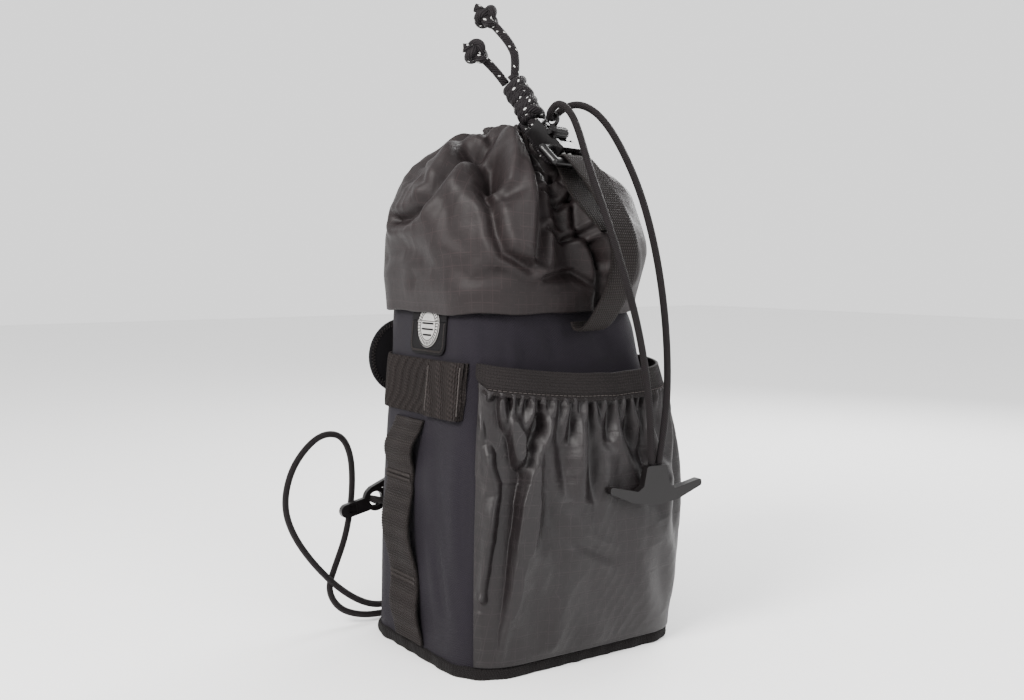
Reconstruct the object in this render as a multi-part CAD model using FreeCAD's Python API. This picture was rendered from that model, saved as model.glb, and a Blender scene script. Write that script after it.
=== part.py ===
"""Drawstring handlebar bag: a stiffened fabric cup with a gathered collar, straps and shock cords.

Millimetres, +Z up. The origin is the centre of the base's underside. -Y is the front, where the
pocket is, +Y is the back, which goes against the bicycle, and -X is the side with the label.
"""
import FreeCAD, Part
import math
import os

Vector = FreeCAD.Vector

# ---- Driving dimensions -------------------------------------------------------------------------
SHELL_TOP = 156.0            # height of the stiffened cup
BASE_THICK = 1.2             # base panel fabric
BOARD_THICK = 2.0            # plastic board that stiffens the base
SHELL_THICK = 1.0            # outer fabric
FOAM_THICK = 3.0             # foam between outer fabric and liner
LINER_THICK = 0.6
LAYER_GAP = 0.15             # air between sewn layers, so that no two solids overlap
BINDING_HEIGHT = 5.0         # tape round the base seam
BINDING_THICK = 1.2
HEM_BOTTOM = 152.5           # lower edge of the gathered collar
COLLAR_THICK = 1.0
COLLAR_SPLIT = 198.0         # height where the upright skirt of the collar gives way to its dome

WEBBING_WIDTH = 25.0
WEBBING_THICK = 1.6
BAND_BOTTOM = 110.0          # waist band of webbing
BAND_LEFT_Y = -31.0          # the band stops at the pocket's left and right seams
BAND_RIGHT_Y = -4.0
ELASTIC_WIDTH = 13.0
ELASTIC_THICK = 1.5
HANDLE_WIDTH = 20.0
STRAP_WIDTH = 38.0           # hook-and-loop strap that holds the bag to a bar or a stem
STRAP_THICK = 2.4
STRAP_REACH = 53.0           # from the bag's centre to each rounded end
STRAP_SEWN_HALF = 13.0
STRAP_HEIGHT = 131.5
STRAP_Y = 54.0

SHOCK_CORD = 3.2             # diameter of the shock cords
DRAWCORD = 4.0               # diameter of the braided drawcord

# Cup sections: height, left x, right x, front y, back y. Corners keep one radius.
CUP_RADIUS = 21.0
CUP = [
    (0.0, -59.0, 59.0, -49.0, 49.0),
    (55.0, -58.0, 60.5, -48.0, 49.0),
    (100.0, -55.0, 58.0, -45.0, 50.0),
    (135.0, -51.0, 50.0, -40.0, 51.5),
    (156.0, -49.0, 44.0, -37.0, 53.0),
]
# Collar sections: height, left x, right x, front y, back y, corner radius.
COLLAR = [
    (152.5, -51.9, 47.7, -40.4, 55.5, 23.0),
    (158.5, -52.2, 47.6, -40.6, 55.6, 23.0),
    (172.0, -54.0, 51.0, -43.0, 56.0, 26.0),
    (185.0, -55.0, 55.0, -44.5, 56.0, 30.0),
    (200.0, -56.0, 56.0, -40.0, 54.0, 36.0),
    (215.0, -52.0, 54.0, -31.0, 53.0, 38.0),
    (226.0, -44.0, 41.0, -16.5, 46.0, 30.5),
    (234.0, -29.0, 26.0, -8.2, 33.0, 20.0),
    (238.5, -14.5, 14.5, -5.5, 23.5, 14.2),
]
NECK = Vector(0.0, 9.0, 238.5)
NECK_RADIUS = 7.0            # clear hole through the gathered mouth
CHANNEL_RADIUS = 12.6        # outside of the tunnel that the drawcord runs in
CHANNEL_HEIGHT = 7.5

# Cord lock: an open channel with a toothed roller and a wide ring for the pull handle.
LOCK_RING = Vector(1.9, -37.6, 222.0)      # centre of the ring's bar
LOCK_MOUTH = Vector(-3.1, -19.7, 239.2)    # where the drawcord leaves the lock
LOCK_WIDTH = 13.0
LOCK_DEPTH = 9.0
LOCK_FLOOR = 1.6
LOCK_CHEEK = 2.0
RING_BAR = 4.0
ROLLER_RADIUS = 3.0
ROLLER_TEETH = 12
ROLLER_HEIGHT = 16.0         # distance of the jammed roller from the ring's bar
ROLLER_TRAVEL = 3.0
ROLLER_SPARE = 0.5           # the slot runs this far past the end of the travel
AXLE_RADIUS = 1.1
DRAW_TRAVEL = 15.0
STRAND_PITCH = 4.2           # the two drawcord strands lie side by side

# Pocket
POCKET_LEFT_TURN = 50.0      # degrees of the left corner that the pocket covers
POCKET_RIGHT_RETURN = 14.0   # how far it runs along the right side, past the corner
POCKET_BULGE = 8.6
POCKET_TOP = 117.5
MOUTH_STAND = 8.6            # how far the elastic stands off the cup
ELASTIC_SAG = 6.0
POCKET_THICK = 1.0
POCKET_STATIONS = 16

# Label
LABEL_HINGE = 151.6
LABEL_Y = (-15.0, 15.6)
LABEL_BOTTOM = 137.0
LABEL_THICK = 0.8
PATCH_RADIUS = 6.2

# Cord lock
STRANDS_OUT = -LOCK_DEPTH / 2 + LOCK_FLOOR + DRAWCORD / 2 + 0.1
ROLLER_OUT = STRANDS_OUT + DRAWCORD / 2 + 0.1 + ROLLER_RADIUS
LOCK_UP = (LOCK_MOUTH - LOCK_RING).normalize()
LOCK_SIDE = LOCK_UP.cross(Vector(0, 0, 1)).normalize()
LOCK_OUT = LOCK_SIDE.cross(LOCK_UP).normalize()
LOCK_LENGTH = (LOCK_MOUTH - LOCK_RING).Length
EYELET_RADIUS = 3.0
EYELET_BAR = 0.9
EYELET_OUT = LOCK_DEPTH / 2 + 2.4
EYELET_UP = LOCK_LENGTH - 2.6
BIGHT_OUT = EYELET_OUT + 2.9
BIGHT_RADIUS = 2.9
KNOT_START = 3.0             # past the lock's mouth
KNOT_UP = Vector(-0.20, 0.50, 0.84).normalize()
KNOT_BULBS = 4
KNOT_BULB = 5.6
KNOT_PITCH = 5.6

# Hooks
HOOK_TOP = Vector(28.9, -63.2, 87.6)       # middle of the toggle hook's top edge
HOOK_ALONG = Vector(0.99, -0.12, 0).normalize()
HOOK_THICK = 4.0
HOOK_HEIGHT = 18.0
HOOK_HALF_SPAN = 24.5
HOOK_PLANE = 59.0            # the ring hook hangs flat behind the bag
RING_HOOK_THICK = 3.0
RING_CENTRE = (-48.8, 60.3)
RING_OUTER = 6.2
RING_HOLE = 3.7
SECOND_RING = (-38.8, 62.6)

# Routes
TOP_CORD_LEFT = [
    (-5.0, -29.6, 245.4), (-4.6, -34.2, 248.4), (-3.4, -39.4, 246.2), (-2.2, -45.0, 238.6),
    (-2.6, -53.8, 220.4), (-3.4, -65.8, 200.3), (0.8, -72.0, 178.3), (9.4, -72.4, 154.4),
    (18.6, -68.8, 129.2), (24.4, -65.4, 106.3), (26.9, -63.0, 88.2),
]
TOP_CORD_RIGHT = [
    (1.2, -28.4, 246.0), (3.6, -36.0, 248.6), (7.0, -44.2, 245.6), (10.4, -51.6, 237.6),
    (14.0, -59.2, 223.8), (17.6, -66.2, 206.0), (21.8, -70.4, 183.5), (26.2, -71.2, 159.6),
    (29.6, -70.2, 135.3), (31.6, -67.6, 110.5), (30.9, -63.5, 88.2),
]
BASE_CORD = [
    (-7.0, 56.0, 10.0), (-20.0, 56.6, 10.4), (-33.0, 55.6, 9.0), (-46.0, 53.0, 6.8),
    (-58.0, 52.4, 9.4), (-71.0, 54.2, 18.4), (-84.0, 57.0, 33.0), (-93.4, 59.4, 48.6),
    (-96.6, 60.6, 62.6), (-92.6, 61.6, 77.8), (-84.0, 62.4, 88.8), (-74.4, 63.2, 94.6),
    (-64.6, 63.6, 93.0), (-59.6, 63.8, 83.6), (-58.6, 63.8, 70.0), (-60.2, 63.4, 55.0),
    (-64.4, 61.4, 41.0), (-71.4, 58.4, 28.6), (-76.4, 56.4, 18.6), (-71.6, 54.4, 8.6),
    (-60.6, 52.4, 4.0), (-47.0, 53.4, 2.6), (-33.0, 55.6, 3.2), (-20.0, 56.6, 4.2), (-7.0, 56.0, 4.6),
]
RING_HOOK_CORD = [
    (-12.0, 56.4, 46.4), (-20.0, 56.4, 46.4), (-31.0, 54.9, 51.6), (-42.5, 54.7, 58.2),
    (-50.6, 56.2, 60.6), (-50.6, 62.0, 60.0), (-42.5, 63.4, 56.0), (-31.0, 61.8, 47.4),
    (-20.0, 57.0, 41.0), (-12.0, 57.0, 41.0),
]

# Pull handle
HANDLE_FOOT = Vector(4.4, -42.4, 150.0)
HANDLE_LINE = [
    (0.2, 152.0), (0.6, 149.6), (3.0, 148.0), (7.4, 150.0), (13.0, 157.0), (18.5, 166.0),
    (22.0, 176.0), (22.0, 186.0), (18.5, 196.0), (12.5, 206.0), (6.0, 214.6), (0.6, 220.4),
]
HANDLE_RETURN = [(-7.0, 218.0), (-3.4, 211.5), (1.6, 205.5), (7.6, 199.5), (13.0, 194.6), (15.9, 191.6)]

PART_FOLDER = "parts"
NODES = {}


def keep(name, shape):
    """Store one sub-part under its node name."""
    NODES[name] = shape


# ---- Curves and sections ------------------------------------------------------------------------
def row_at(table, height):
    """The table's row at a height, by a smooth curve through its rows."""
    last = len(table) - 1
    span = last - 1
    for index in range(last):
        if height <= table[index + 1][0]:
            span = index
            break
    low, high = table[span], table[min(span + 1, last)]
    before, after = table[max(span - 1, 0)], table[min(span + 2, last)]
    step = high[0] - low[0]
    t = (height - low[0]) / step
    row = []
    for p, a, b, q in zip(before[1:], low[1:], high[1:], after[1:]):
        start = (b - p) / (high[0] - before[0]) * step
        end = (q - a) / (after[0] - low[0]) * step
        value = (a * (2 * t ** 3 - 3 * t ** 2 + 1) + start * (t ** 3 - 2 * t ** 2 + t)
                 + b * (3 * t ** 2 - 2 * t ** 3) + end * (t ** 3 - t ** 2))
        row.append(value)
    return row


def rounded_wire(x0, x1, y0, y1, radius, z):
    """A rounded rectangle at height z."""
    diagonal = radius * (1 - math.sqrt(0.5))
    corners = [
        ((x1, y1 - radius), (x1 - diagonal, y1 - diagonal), (x1 - radius, y1)),
        ((x0 + radius, y1), (x0 + diagonal, y1 - diagonal), (x0, y1 - radius)),
        ((x0, y0 + radius), (x0 + diagonal, y0 + diagonal), (x0 + radius, y0)),
        ((x1 - radius, y0), (x1 - diagonal, y0 + diagonal), (x1, y0 + radius)),
    ]
    edges = []
    for index, corner in enumerate(corners):
        start, middle, end = [Vector(x, y, z) for x, y in corner]
        following = Vector(*corners[(index + 1) % len(corners)][0], z)
        edges.append(Part.Arc(start, middle, end).toShape())
        edges.append(Part.LineSegment(end, following).toShape())
    return Part.Wire(edges)


def heights_between(low, high, step):
    """Evenly spaced heights from low to high, no further apart than step."""
    count = max(1, math.ceil((high - low) / step))
    return [low + (high - low) * index / count for index in range(count + 1)]


def cup_solid(low, high, grow, step=19.0):
    """A solid with the cup's sections, moved outwards by grow."""
    wires = []
    for z in heights_between(low, high, step):
        x0, x1, y0, y1 = row_at(CUP, z)
        wires.append(rounded_wire(x0 - grow, x1 + grow, y0 - grow, y1 + grow, CUP_RADIUS + grow, z))
    return Part.makeLoft(wires, True, len(wires) == 2)


def cup_ring(low, high, inner, outer):
    """A tube wall between two offsets of the cup."""
    return cup_solid(low, high, outer).cut(cup_solid(low, high, inner))


def box(x0, x1, y0, y1, z0, z1):
    """A box from its limits."""
    return Part.makeBox(x1 - x0, y1 - y0, z1 - z0, Vector(x0, y0, z0))


def cup_perimeter_point(u, z, offset):
    """A point round the cup's front, from the pocket's left seam at u = 0 to its right one at 1."""
    x0, x1, y0, y1 = row_at(CUP, z)
    left_turn = math.radians(POCKET_LEFT_TURN)
    right_turn = math.radians(90.0)
    side_run = POCKET_RIGHT_RETURN
    lengths = [CUP_RADIUS * left_turn, x1 - x0 - 2 * CUP_RADIUS, CUP_RADIUS * right_turn, side_run]
    along = u * sum(lengths)
    if along <= lengths[0]:
        angle = -math.pi / 2 - left_turn + along / CUP_RADIUS
        centre = Vector(x0 + CUP_RADIUS, y0 + CUP_RADIUS, z)
    elif along <= lengths[0] + lengths[1]:
        angle = -math.pi / 2
        centre = Vector(x0 + CUP_RADIUS + along - lengths[0], y0 + CUP_RADIUS, z)
    else:
        past = along - lengths[0] - lengths[1]
        angle = -math.pi / 2 + min(past / CUP_RADIUS, right_turn)
        centre = Vector(x1 - CUP_RADIUS, y0 + CUP_RADIUS + max(0.0, past - lengths[2]), z)
    reach = CUP_RADIUS + offset
    return centre + Vector(reach * math.cos(angle), reach * math.sin(angle), 0)


def spline(points):
    """One smooth edge through the points."""
    curve = Part.BSplineCurve()
    curve.interpolate(points)
    return curve.toShape()


def line(start, end):
    """One straight edge."""
    return Part.LineSegment(start, end).toShape()


def quad_loft(sections, ruled=False):
    """A solid through four-cornered sections."""
    wires = [Part.makePolygon(corners + corners[:1]) for corners in sections]
    return Part.makeLoft(wires, True, ruled)


def profile_sheet(points, thick, origin, along, width):
    """A strap: a line in the plane of `along` and +Z, given thickness and then extruded sideways."""
    across = along.cross(Vector(0, 0, 1))
    left, right = [], []
    for index, (s, z) in enumerate(points):
        s0, z0 = points[max(index - 1, 0)]
        s1, z1 = points[min(index + 1, len(points) - 1)]
        length = math.hypot(s1 - s0, z1 - z0)
        ns, nz = -(z1 - z0) / length, (s1 - s0) / length
        for side, store in ((thick / 2, left), (-thick / 2, right)):
            store.append(origin + along * (s + ns * side) + Vector(0, 0, z + nz * side - origin.z))
    outline = [spline(left), line(left[-1], right[-1]), spline(right[::-1]), line(right[0], left[0])]
    face = Part.Face(Part.Wire(Part.__sortEdges__(outline)))
    face.translate(across * (-width / 2))
    return face.extrude(across * width)


# ---- Cords --------------------------------------------------------------------------------------
def cord_path(points):
    """Straight runs joined by tangent arcs as large as the runs allow."""
    route = [Vector(*point) for point in points]
    edges, radii, length = [], [], 0.0
    start = route[0]
    for index in range(1, len(route) - 1):
        corner = route[index]
        back = route[index - 1] - corner
        ahead = route[index + 1] - corner
        run = min(back.Length, ahead.Length)
        turn = math.pi - back.getAngle(ahead)
        radius = 0.45 * run / math.tan(turn / 2)
        trim = radius * math.tan(turn / 2)
        back.normalize()
        ahead.normalize()
        first, last = corner + back * trim, corner + ahead * trim
        bisector = back + ahead
        bisector.normalize()
        middle = corner + bisector * (radius / math.cos(turn / 2) - radius)
        edges.append(line(start, first))
        edges.append(Part.Arc(first, middle, last).toShape())
        radii.append(radius)
        length += (first - start).Length + radius * turn
        start = last
    edges.append(line(start, route[-1]))
    length += (route[-1] - start).Length
    return Part.Wire(edges), radii, length


def cord_tube(name, points, diameter):
    """A cord's solid along its route, with its figures printed."""
    path, radii, length = cord_path(points)
    direction = Vector(*points[1]) - Vector(*points[0])
    circle = Part.Circle(Vector(*points[0]), direction, diameter / 2)
    tube = path.makePipeShell([Part.Wire(circle.toShape())], True, False)
    expected = math.pi * diameter ** 2 / 4 * length
    print(f"{name}: length {length:.1f}, smallest radius {min(radii or [0]):.1f}, "
          f"volume {tube.Volume:.0f} of {expected:.0f}")
    keep(name, tube)


# ---- Cup ----------------------------------------------------------------------------------------
def make_cup():
    """Base, outer fabric, foam, liner, and the tapes on their edges."""
    floor = BASE_THICK + LAYER_GAP
    foam_out = -SHELL_THICK - LAYER_GAP
    liner_out = foam_out - FOAM_THICK - LAYER_GAP
    board_top = floor + BOARD_THICK
    keep("base_panel", cup_solid(0.0, BASE_THICK, 0.0))
    keep("base_board", cup_solid(floor, board_top, foam_out))
    keep("body_shell", cup_ring(floor, SHELL_TOP, -SHELL_THICK, 0.0))
    foam_low = board_top + LAYER_GAP
    keep("foam_wall", cup_ring(foam_low, SHELL_TOP, liner_out + LAYER_GAP, foam_out))
    liner = cup_solid(foam_low, SHELL_TOP, liner_out)
    inside = cup_solid(foam_low + LINER_THICK, SHELL_TOP, liner_out - LINER_THICK)
    keep("liner", liner.cut(inside))
    keep("base_binding", cup_ring(0.0, BINDING_HEIGHT, LAYER_GAP, LAYER_GAP + BINDING_THICK))
    rim_low = SHELL_TOP + LAYER_GAP
    rim = cup_solid(SHELL_TOP - 1.4, SHELL_TOP, 0.0)
    hole = cup_solid(SHELL_TOP - 1.4, SHELL_TOP, liner_out - LINER_THICK)
    rim_ring = rim.cut(hole)
    rim_ring.translate(Vector(0, 0, rim_low - SHELL_TOP + 1.4))
    keep("rim_binding", rim_ring)


# ---- Collar -------------------------------------------------------------------------------------
def collar_solid(inset, low, high):
    """The collar's outside between two heights, drawn in by inset."""
    wires = []
    for z in heights_between(low, high, 5.5):
        x0, x1, y0, y1, radius = row_at(COLLAR, z)
        radius = min(radius, (x1 - x0) / 2 - LAYER_GAP, (y1 - y0) / 2 - LAYER_GAP)
        wires.append(rounded_wire(x0 + inset, x1 - inset, y0 + inset, y1 - inset, radius - inset, z))
    return Part.makeLoft(wires, True, True)


def make_collar():
    """The gathered collar, the tunnel at its mouth and the drawcord loop inside it."""
    hem, top = COLLAR[0][0], COLLAR[-1][0]
    inside = collar_solid(COLLAR_THICK * 0.8, hem, top)
    inside.translate(Vector(0, 0, -COLLAR_THICK))
    mouth = Part.makeCylinder(CHANNEL_RADIUS + 2 * LAYER_GAP, 30, Vector(NECK.x, NECK.y, NECK.z - 20))
    keep("collar_skirt", collar_solid(0.0, hem, COLLAR_SPLIT).cut(inside))
    keep("collar_dome", collar_solid(0.0, COLLAR_SPLIT, top).cut(inside).cut(mouth))
    wall = 1.0
    low = NECK.z - CHANNEL_HEIGHT + 2.0
    high = low + CHANNEL_HEIGHT
    profile = [
        (CHANNEL_RADIUS, low), (CHANNEL_RADIUS, high), (NECK_RADIUS, high), (NECK_RADIUS, low),
        (NECK_RADIUS + wall, low), (NECK_RADIUS + wall, high - wall),
        (CHANNEL_RADIUS - wall, high - wall), (CHANNEL_RADIUS - wall, low),
    ]
    corners = [Vector(NECK.x + r, NECK.y, z) for r, z in profile]
    face = Part.Face(Part.makePolygon(corners + corners[:1]))
    keep("drawcord_channel", face.revolve(Vector(NECK.x, NECK.y, 0), Vector(0, 0, 1), 360))
    middle = (NECK_RADIUS + CHANNEL_RADIUS) / 2
    cord_radius = (CHANNEL_RADIUS - NECK_RADIUS) / 2 - wall - LAYER_GAP
    loop_height = high - wall - cord_radius - LAYER_GAP
    centre = Vector(NECK.x, NECK.y, loop_height)
    keep("drawcord_loop", Part.makeTorus(middle, cord_radius, centre))


# ---- Webbing ------------------------------------------------------------------------------------
def make_band():
    """Waist band, and the second layer that is sewn down beside the pocket."""
    high = BAND_BOTTOM + WEBBING_WIDTH
    inner, outer = LAYER_GAP, LAYER_GAP + WEBBING_THICK
    ring = cup_ring(BAND_BOTTOM, high, inner, outer)
    behind = box(-90, 0, BAND_LEFT_Y, 90, 0, 200).fuse(box(0, 90, BAND_RIGHT_Y, 90, 0, 200))
    keep("waist_band", ring.common(behind))
    second = cup_ring(BAND_BOTTOM, high, outer + LAYER_GAP, outer + LAYER_GAP + WEBBING_THICK)
    keep("band_overlap", second.common(box(-90, 0, BAND_LEFT_Y, -4.0, 0, 200)))


def make_daisy_chain(name, side):
    """A vertical ladder of webbing loops on one side, sewn down at its tacks."""
    centre_line = [(107.5, 10.0), (80.0, 16.0), (34.0, 9.0), (5.6, 4.0)]
    loop_rise = [4.0, 3.5, 2.0]
    sections = []
    for index in range(len(centre_line) - 1):
        z_high, y_high = centre_line[index]
        z_low, y_low = centre_line[index + 1]
        steps = 6
        for step in range(steps + (index == len(loop_rise) - 1)):
            t = step / steps
            z = z_high + (z_low - z_high) * t
            y = y_high + (y_low - y_high) * t
            lift = 2 * LAYER_GAP + loop_rise[index] * math.sin(math.pi * t) ** 2
            x_left, x_right = row_at(CUP, z)[:2]
            wall = x_left if side < 0 else x_right
            near, far = wall + side * lift, wall + side * (lift + WEBBING_THICK)
            half = WEBBING_WIDTH / 2
            sections.append([Vector(near, y - half, z), Vector(far, y - half, z),
                             Vector(far, y + half, z), Vector(near, y + half, z)])
    keep(name, quad_loft(sections))
    return centre_line[1:-1]


def make_bar_tacks(tack_places):
    """The raised stitching that holds each ladder of webbing to the cup."""
    height, stand = 3.0, 0.6
    tacks = []
    for side in (-1, 1):
        for z, y in tack_places:
            x_left, x_right = row_at(CUP, z)[:2]
            wall = x_left if side < 0 else x_right
            near = wall + side * (3 * LAYER_GAP + WEBBING_THICK)
            limits = sorted((near, near + side * stand))
            half = WEBBING_WIDTH / 2 - 1
            tacks.append(box(limits[0], limits[1], y - half, y + half, z - height / 2, z + height / 2))
    keep("bar_tacks", Part.makeCompound(tacks))


# ---- Pocket -------------------------------------------------------------------------------------


def stand_off(u, most):
    """Distance of the pocket from the cup, nothing at the seams and most in between."""
    return most * math.sin(math.pi * u) ** 0.75


def pocket_offset(u, z):
    """Offset of the pocket's inner face from the cup."""
    low = BINDING_HEIGHT + LAYER_GAP
    t = min(1.0, (z - low) / (POCKET_TOP - low))
    most = POCKET_BULGE * math.sin(math.pi * min(1.0, t * 0.75 + 0.02)) ** 0.6
    most = max(most, MOUTH_STAND * t)
    return LAYER_GAP + stand_off(u, most)


def elastic_bottom(u):
    """Height of the elastic's lower edge, which sags between the seams."""
    return POCKET_TOP + ELASTIC_SAG * (0.8 - math.sin(math.pi * u)) + LAYER_GAP


def across_mouth(near, far, drop, rise):
    """A band along the pocket's mouth, between two distances from its inner line and two heights."""
    sections = []
    for index in range(POCKET_STATIONS + 1):
        u = index / POCKET_STATIONS
        gap = LAYER_GAP + stand_off(u, MOUTH_STAND)
        low, high = elastic_bottom(u) - drop, elastic_bottom(u) + rise
        ends = ((low, gap + near), (low, gap + far), (high, gap + far), (high, gap + near))
        sections.append([cup_perimeter_point(u, z, offset) for z, offset in ends])
    return quad_loft(sections)


def make_pocket():
    """The front pocket's sheet and its elastic edge."""
    low, high = BINDING_HEIGHT + LAYER_GAP, POCKET_TOP + ELASTIC_SAG
    stations = [index / POCKET_STATIONS for index in range(POCKET_STATIONS + 1)]
    wires = []
    for z in heights_between(low, high, 12.0):
        inner = [cup_perimeter_point(u, z, pocket_offset(u, z)) for u in stations]
        outer = [cup_perimeter_point(u, z, pocket_offset(u, z) + POCKET_THICK) for u in stations]
        wires.append(Part.Wire([spline(inner), line(inner[-1], outer[-1]),
                                spline(outer[::-1]), line(outer[0], inner[0])]))
    sheet = Part.makeLoft(wires, True, False)
    above = across_mouth(-ELASTIC_THICK, ELASTIC_THICK * 4, LAYER_GAP, ELASTIC_WIDTH)
    keep("front_pocket", sheet.cut(above))
    keep("pocket_elastic", across_mouth(0.0, ELASTIC_THICK, 0.0, ELASTIC_WIDTH))


# ---- Label --------------------------------------------------------------------------------------


def make_label():
    """The woven label: its sewn-in edge, the free flap and a plain round patch."""
    x_top = row_at(CUP, SHELL_TOP)[0] - LAYER_GAP
    x_hinge = row_at(CUP, LABEL_HINGE)[0] - 4 * LAYER_GAP
    x_low = row_at(CUP, LABEL_BOTTOM)[0] - 5 * LAYER_GAP
    y0, y1 = LABEL_Y

    def leaf(z0, x0, z1, x1, corner):
        outline = [Vector(x1, y0, z1), Vector(x1, y1, z1)]
        lean = (x1 - x0) / (z1 - z0)
        for side, y in ((1, y1), (-1, y0)):
            steps = [0.0, 0.3, 0.7, 1.0] if side > 0 else [1.0, 0.7, 0.3, 0.0]
            for t in steps:
                angle = t * math.pi / 2
                z = z0 + corner * (1 - math.cos(math.pi / 2 - angle))
                inset = corner * (1 - math.cos(angle))
                outline.append(Vector(x0 + lean * (z - z0), y - side * inset, z))
        face = Part.Face(Part.makePolygon(outline + outline[:1]))
        return face.extrude(Vector(-LABEL_THICK, 0, 0))

    keep("label_root", leaf(LABEL_HINGE + 0.3, x_hinge, SHELL_TOP, x_top, 0.1))
    keep("label_flap", leaf(LABEL_BOTTOM, x_low, LABEL_HINGE, x_hinge, 4.0))
    middle = Vector(0, (y0 + y1) / 2, (LABEL_BOTTOM + LABEL_HINGE) / 2 + 0.6)
    lean = math.atan2(x_hinge - x_low, LABEL_HINGE - LABEL_BOTTOM)
    middle.x = (x_low + x_hinge) / 2 - LABEL_THICK - 0.1
    out = Vector(-math.cos(lean), 0, math.sin(lean))
    keep("label_patch", Part.makeCylinder(PATCH_RADIUS, 0.4, middle, out))


# ---- Strap --------------------------------------------------------------------------------------
def make_strap():
    """Wide hook-and-loop strap: a sewn middle and two wings that wrap round a bar."""
    low, high = STRAP_HEIGHT - STRAP_WIDTH / 2, STRAP_HEIGHT + STRAP_WIDTH / 2
    keep("strap_middle", box(-STRAP_SEWN_HALF, STRAP_SEWN_HALF, STRAP_Y, STRAP_Y + STRAP_THICK,
                             low, high))
    start = STRAP_SEWN_HALF + 0.4
    end_radius = STRAP_WIDTH / 2
    for name, side in (("strap_wing_left", -1), ("strap_wing_right", 1)):
        limits = sorted((side * start, side * (STRAP_REACH - end_radius)))
        straight = box(limits[0], limits[1], STRAP_Y, STRAP_Y + STRAP_THICK, low, high)
        centre = Vector(side * (STRAP_REACH - end_radius), STRAP_Y, STRAP_HEIGHT)
        tip = Part.makeCylinder(end_radius, STRAP_THICK, centre, Vector(0, 1, 0))
        keep(name, straight.fuse(tip).removeSplitter())


# ---- Cord lock ----------------------------------------------------------------------------------


def in_lock(side, out, up):
    """A point given along the lock's own directions, from the middle of its ring's bar."""
    return LOCK_RING + LOCK_SIDE * side + LOCK_OUT * out + LOCK_UP * up


def lock_block(side, out, up):
    """A block with its limits along the lock's own directions."""
    (s0, s1), (o0, o1), (u0, u1) = side, out, up
    corners = [in_lock(s0, o0, u0), in_lock(s1, o0, u0), in_lock(s1, o1, u0), in_lock(s0, o1, u0)]
    face = Part.Face(Part.makePolygon(corners + corners[:1]))
    return face.extrude(LOCK_UP * (u1 - u0))


def lock_rod(start, end, radius):
    """A round bar between two points in the lock's own directions."""
    first, last = in_lock(*start), in_lock(*end)
    return Part.makeCylinder(radius, (last - first).Length, first, last - first)


def make_lock():
    """The lock's body and its roller."""
    half, deep = LOCK_WIDTH / 2, LOCK_DEPTH / 2
    bar = RING_BAR / 2
    ring_half = HANDLE_WIDTH / 2 + 1.6 + RING_BAR
    ring_top = 9.0
    channel_low = 5.0
    body = lock_block((-half, half), (-deep, deep), (channel_low, LOCK_LENGTH))
    passage = lock_block((-half + LOCK_CHEEK, half - LOCK_CHEEK), (-deep + LOCK_FLOOR, deep - 1.6),
                         (channel_low - 1, LOCK_LENGTH + 1))
    open_front = lock_block((-half + LOCK_CHEEK, half - LOCK_CHEEK), (0, deep + 1),
                            (channel_low + 4.6, LOCK_LENGTH - 4.5))
    window = lock_block((-half + LOCK_CHEEK, half - LOCK_CHEEK), (-deep - 1, 0),
                        (channel_low + 0.5, channel_low + 6.4))
    body = body.cut(passage).cut(open_front).cut(window)
    axle = AXLE_RADIUS + 0.15
    out = ROLLER_OUT
    low, high = ROLLER_HEIGHT - ROLLER_TRAVEL - ROLLER_SPARE, ROLLER_HEIGHT
    slot = lock_rod((-half - 1, out, high), (half + 1, out, high), axle)
    slot = slot.fuse(lock_rod((-half - 1, out, low), (half + 1, out, low), axle))
    slot = slot.fuse(lock_block((-half - 1, half + 1), (out - axle, out + axle), (low, high)))
    body = body.cut(slot)
    for side in (-1, 1):
        end = side * (ring_half - bar)
        body = body.fuse(lock_rod((end, 0, 0), (end, 0, ring_top), bar))
        body = body.fuse(Part.makeSphere(bar, in_lock(end, 0, 0)))
        body = body.fuse(Part.makeSphere(bar, in_lock(end, 0, ring_top)))
        body = body.fuse(lock_rod((end, 0, ring_top), (side * half * 0.8, 0, ring_top + 1), bar))
    body = body.fuse(lock_rod((-ring_half + bar, 0, 0), (ring_half - bar, 0, 0), bar))
    eyelet = Part.makeTorus(EYELET_RADIUS, EYELET_BAR, in_lock(0, EYELET_OUT, EYELET_UP), LOCK_SIDE)
    eyelet = eyelet.cut(lock_block((-3, 3), (-deep, deep - 0.5), (EYELET_UP - 6, EYELET_UP + 6)))
    keep("cord_lock_body", body.fuse(eyelet).removeSplitter())
    roller_half = half - LOCK_CHEEK - 0.3
    roller = lock_rod((-roller_half, out, high), (roller_half, out, high), ROLLER_RADIUS)
    for index in range(ROLLER_TEETH):
        angle = 2 * math.pi * index / ROLLER_TEETH
        groove_out = out + ROLLER_RADIUS * math.cos(angle)
        groove_up = high + ROLLER_RADIUS * math.sin(angle)
        roller = roller.cut(lock_rod((-half, groove_out, groove_up), (half, groove_out, groove_up), 0.4))
    roller = roller.fuse(lock_rod((-half, out, high), (half, out, high), AXLE_RADIUS))
    keep("cord_lock_roller", roller)


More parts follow.
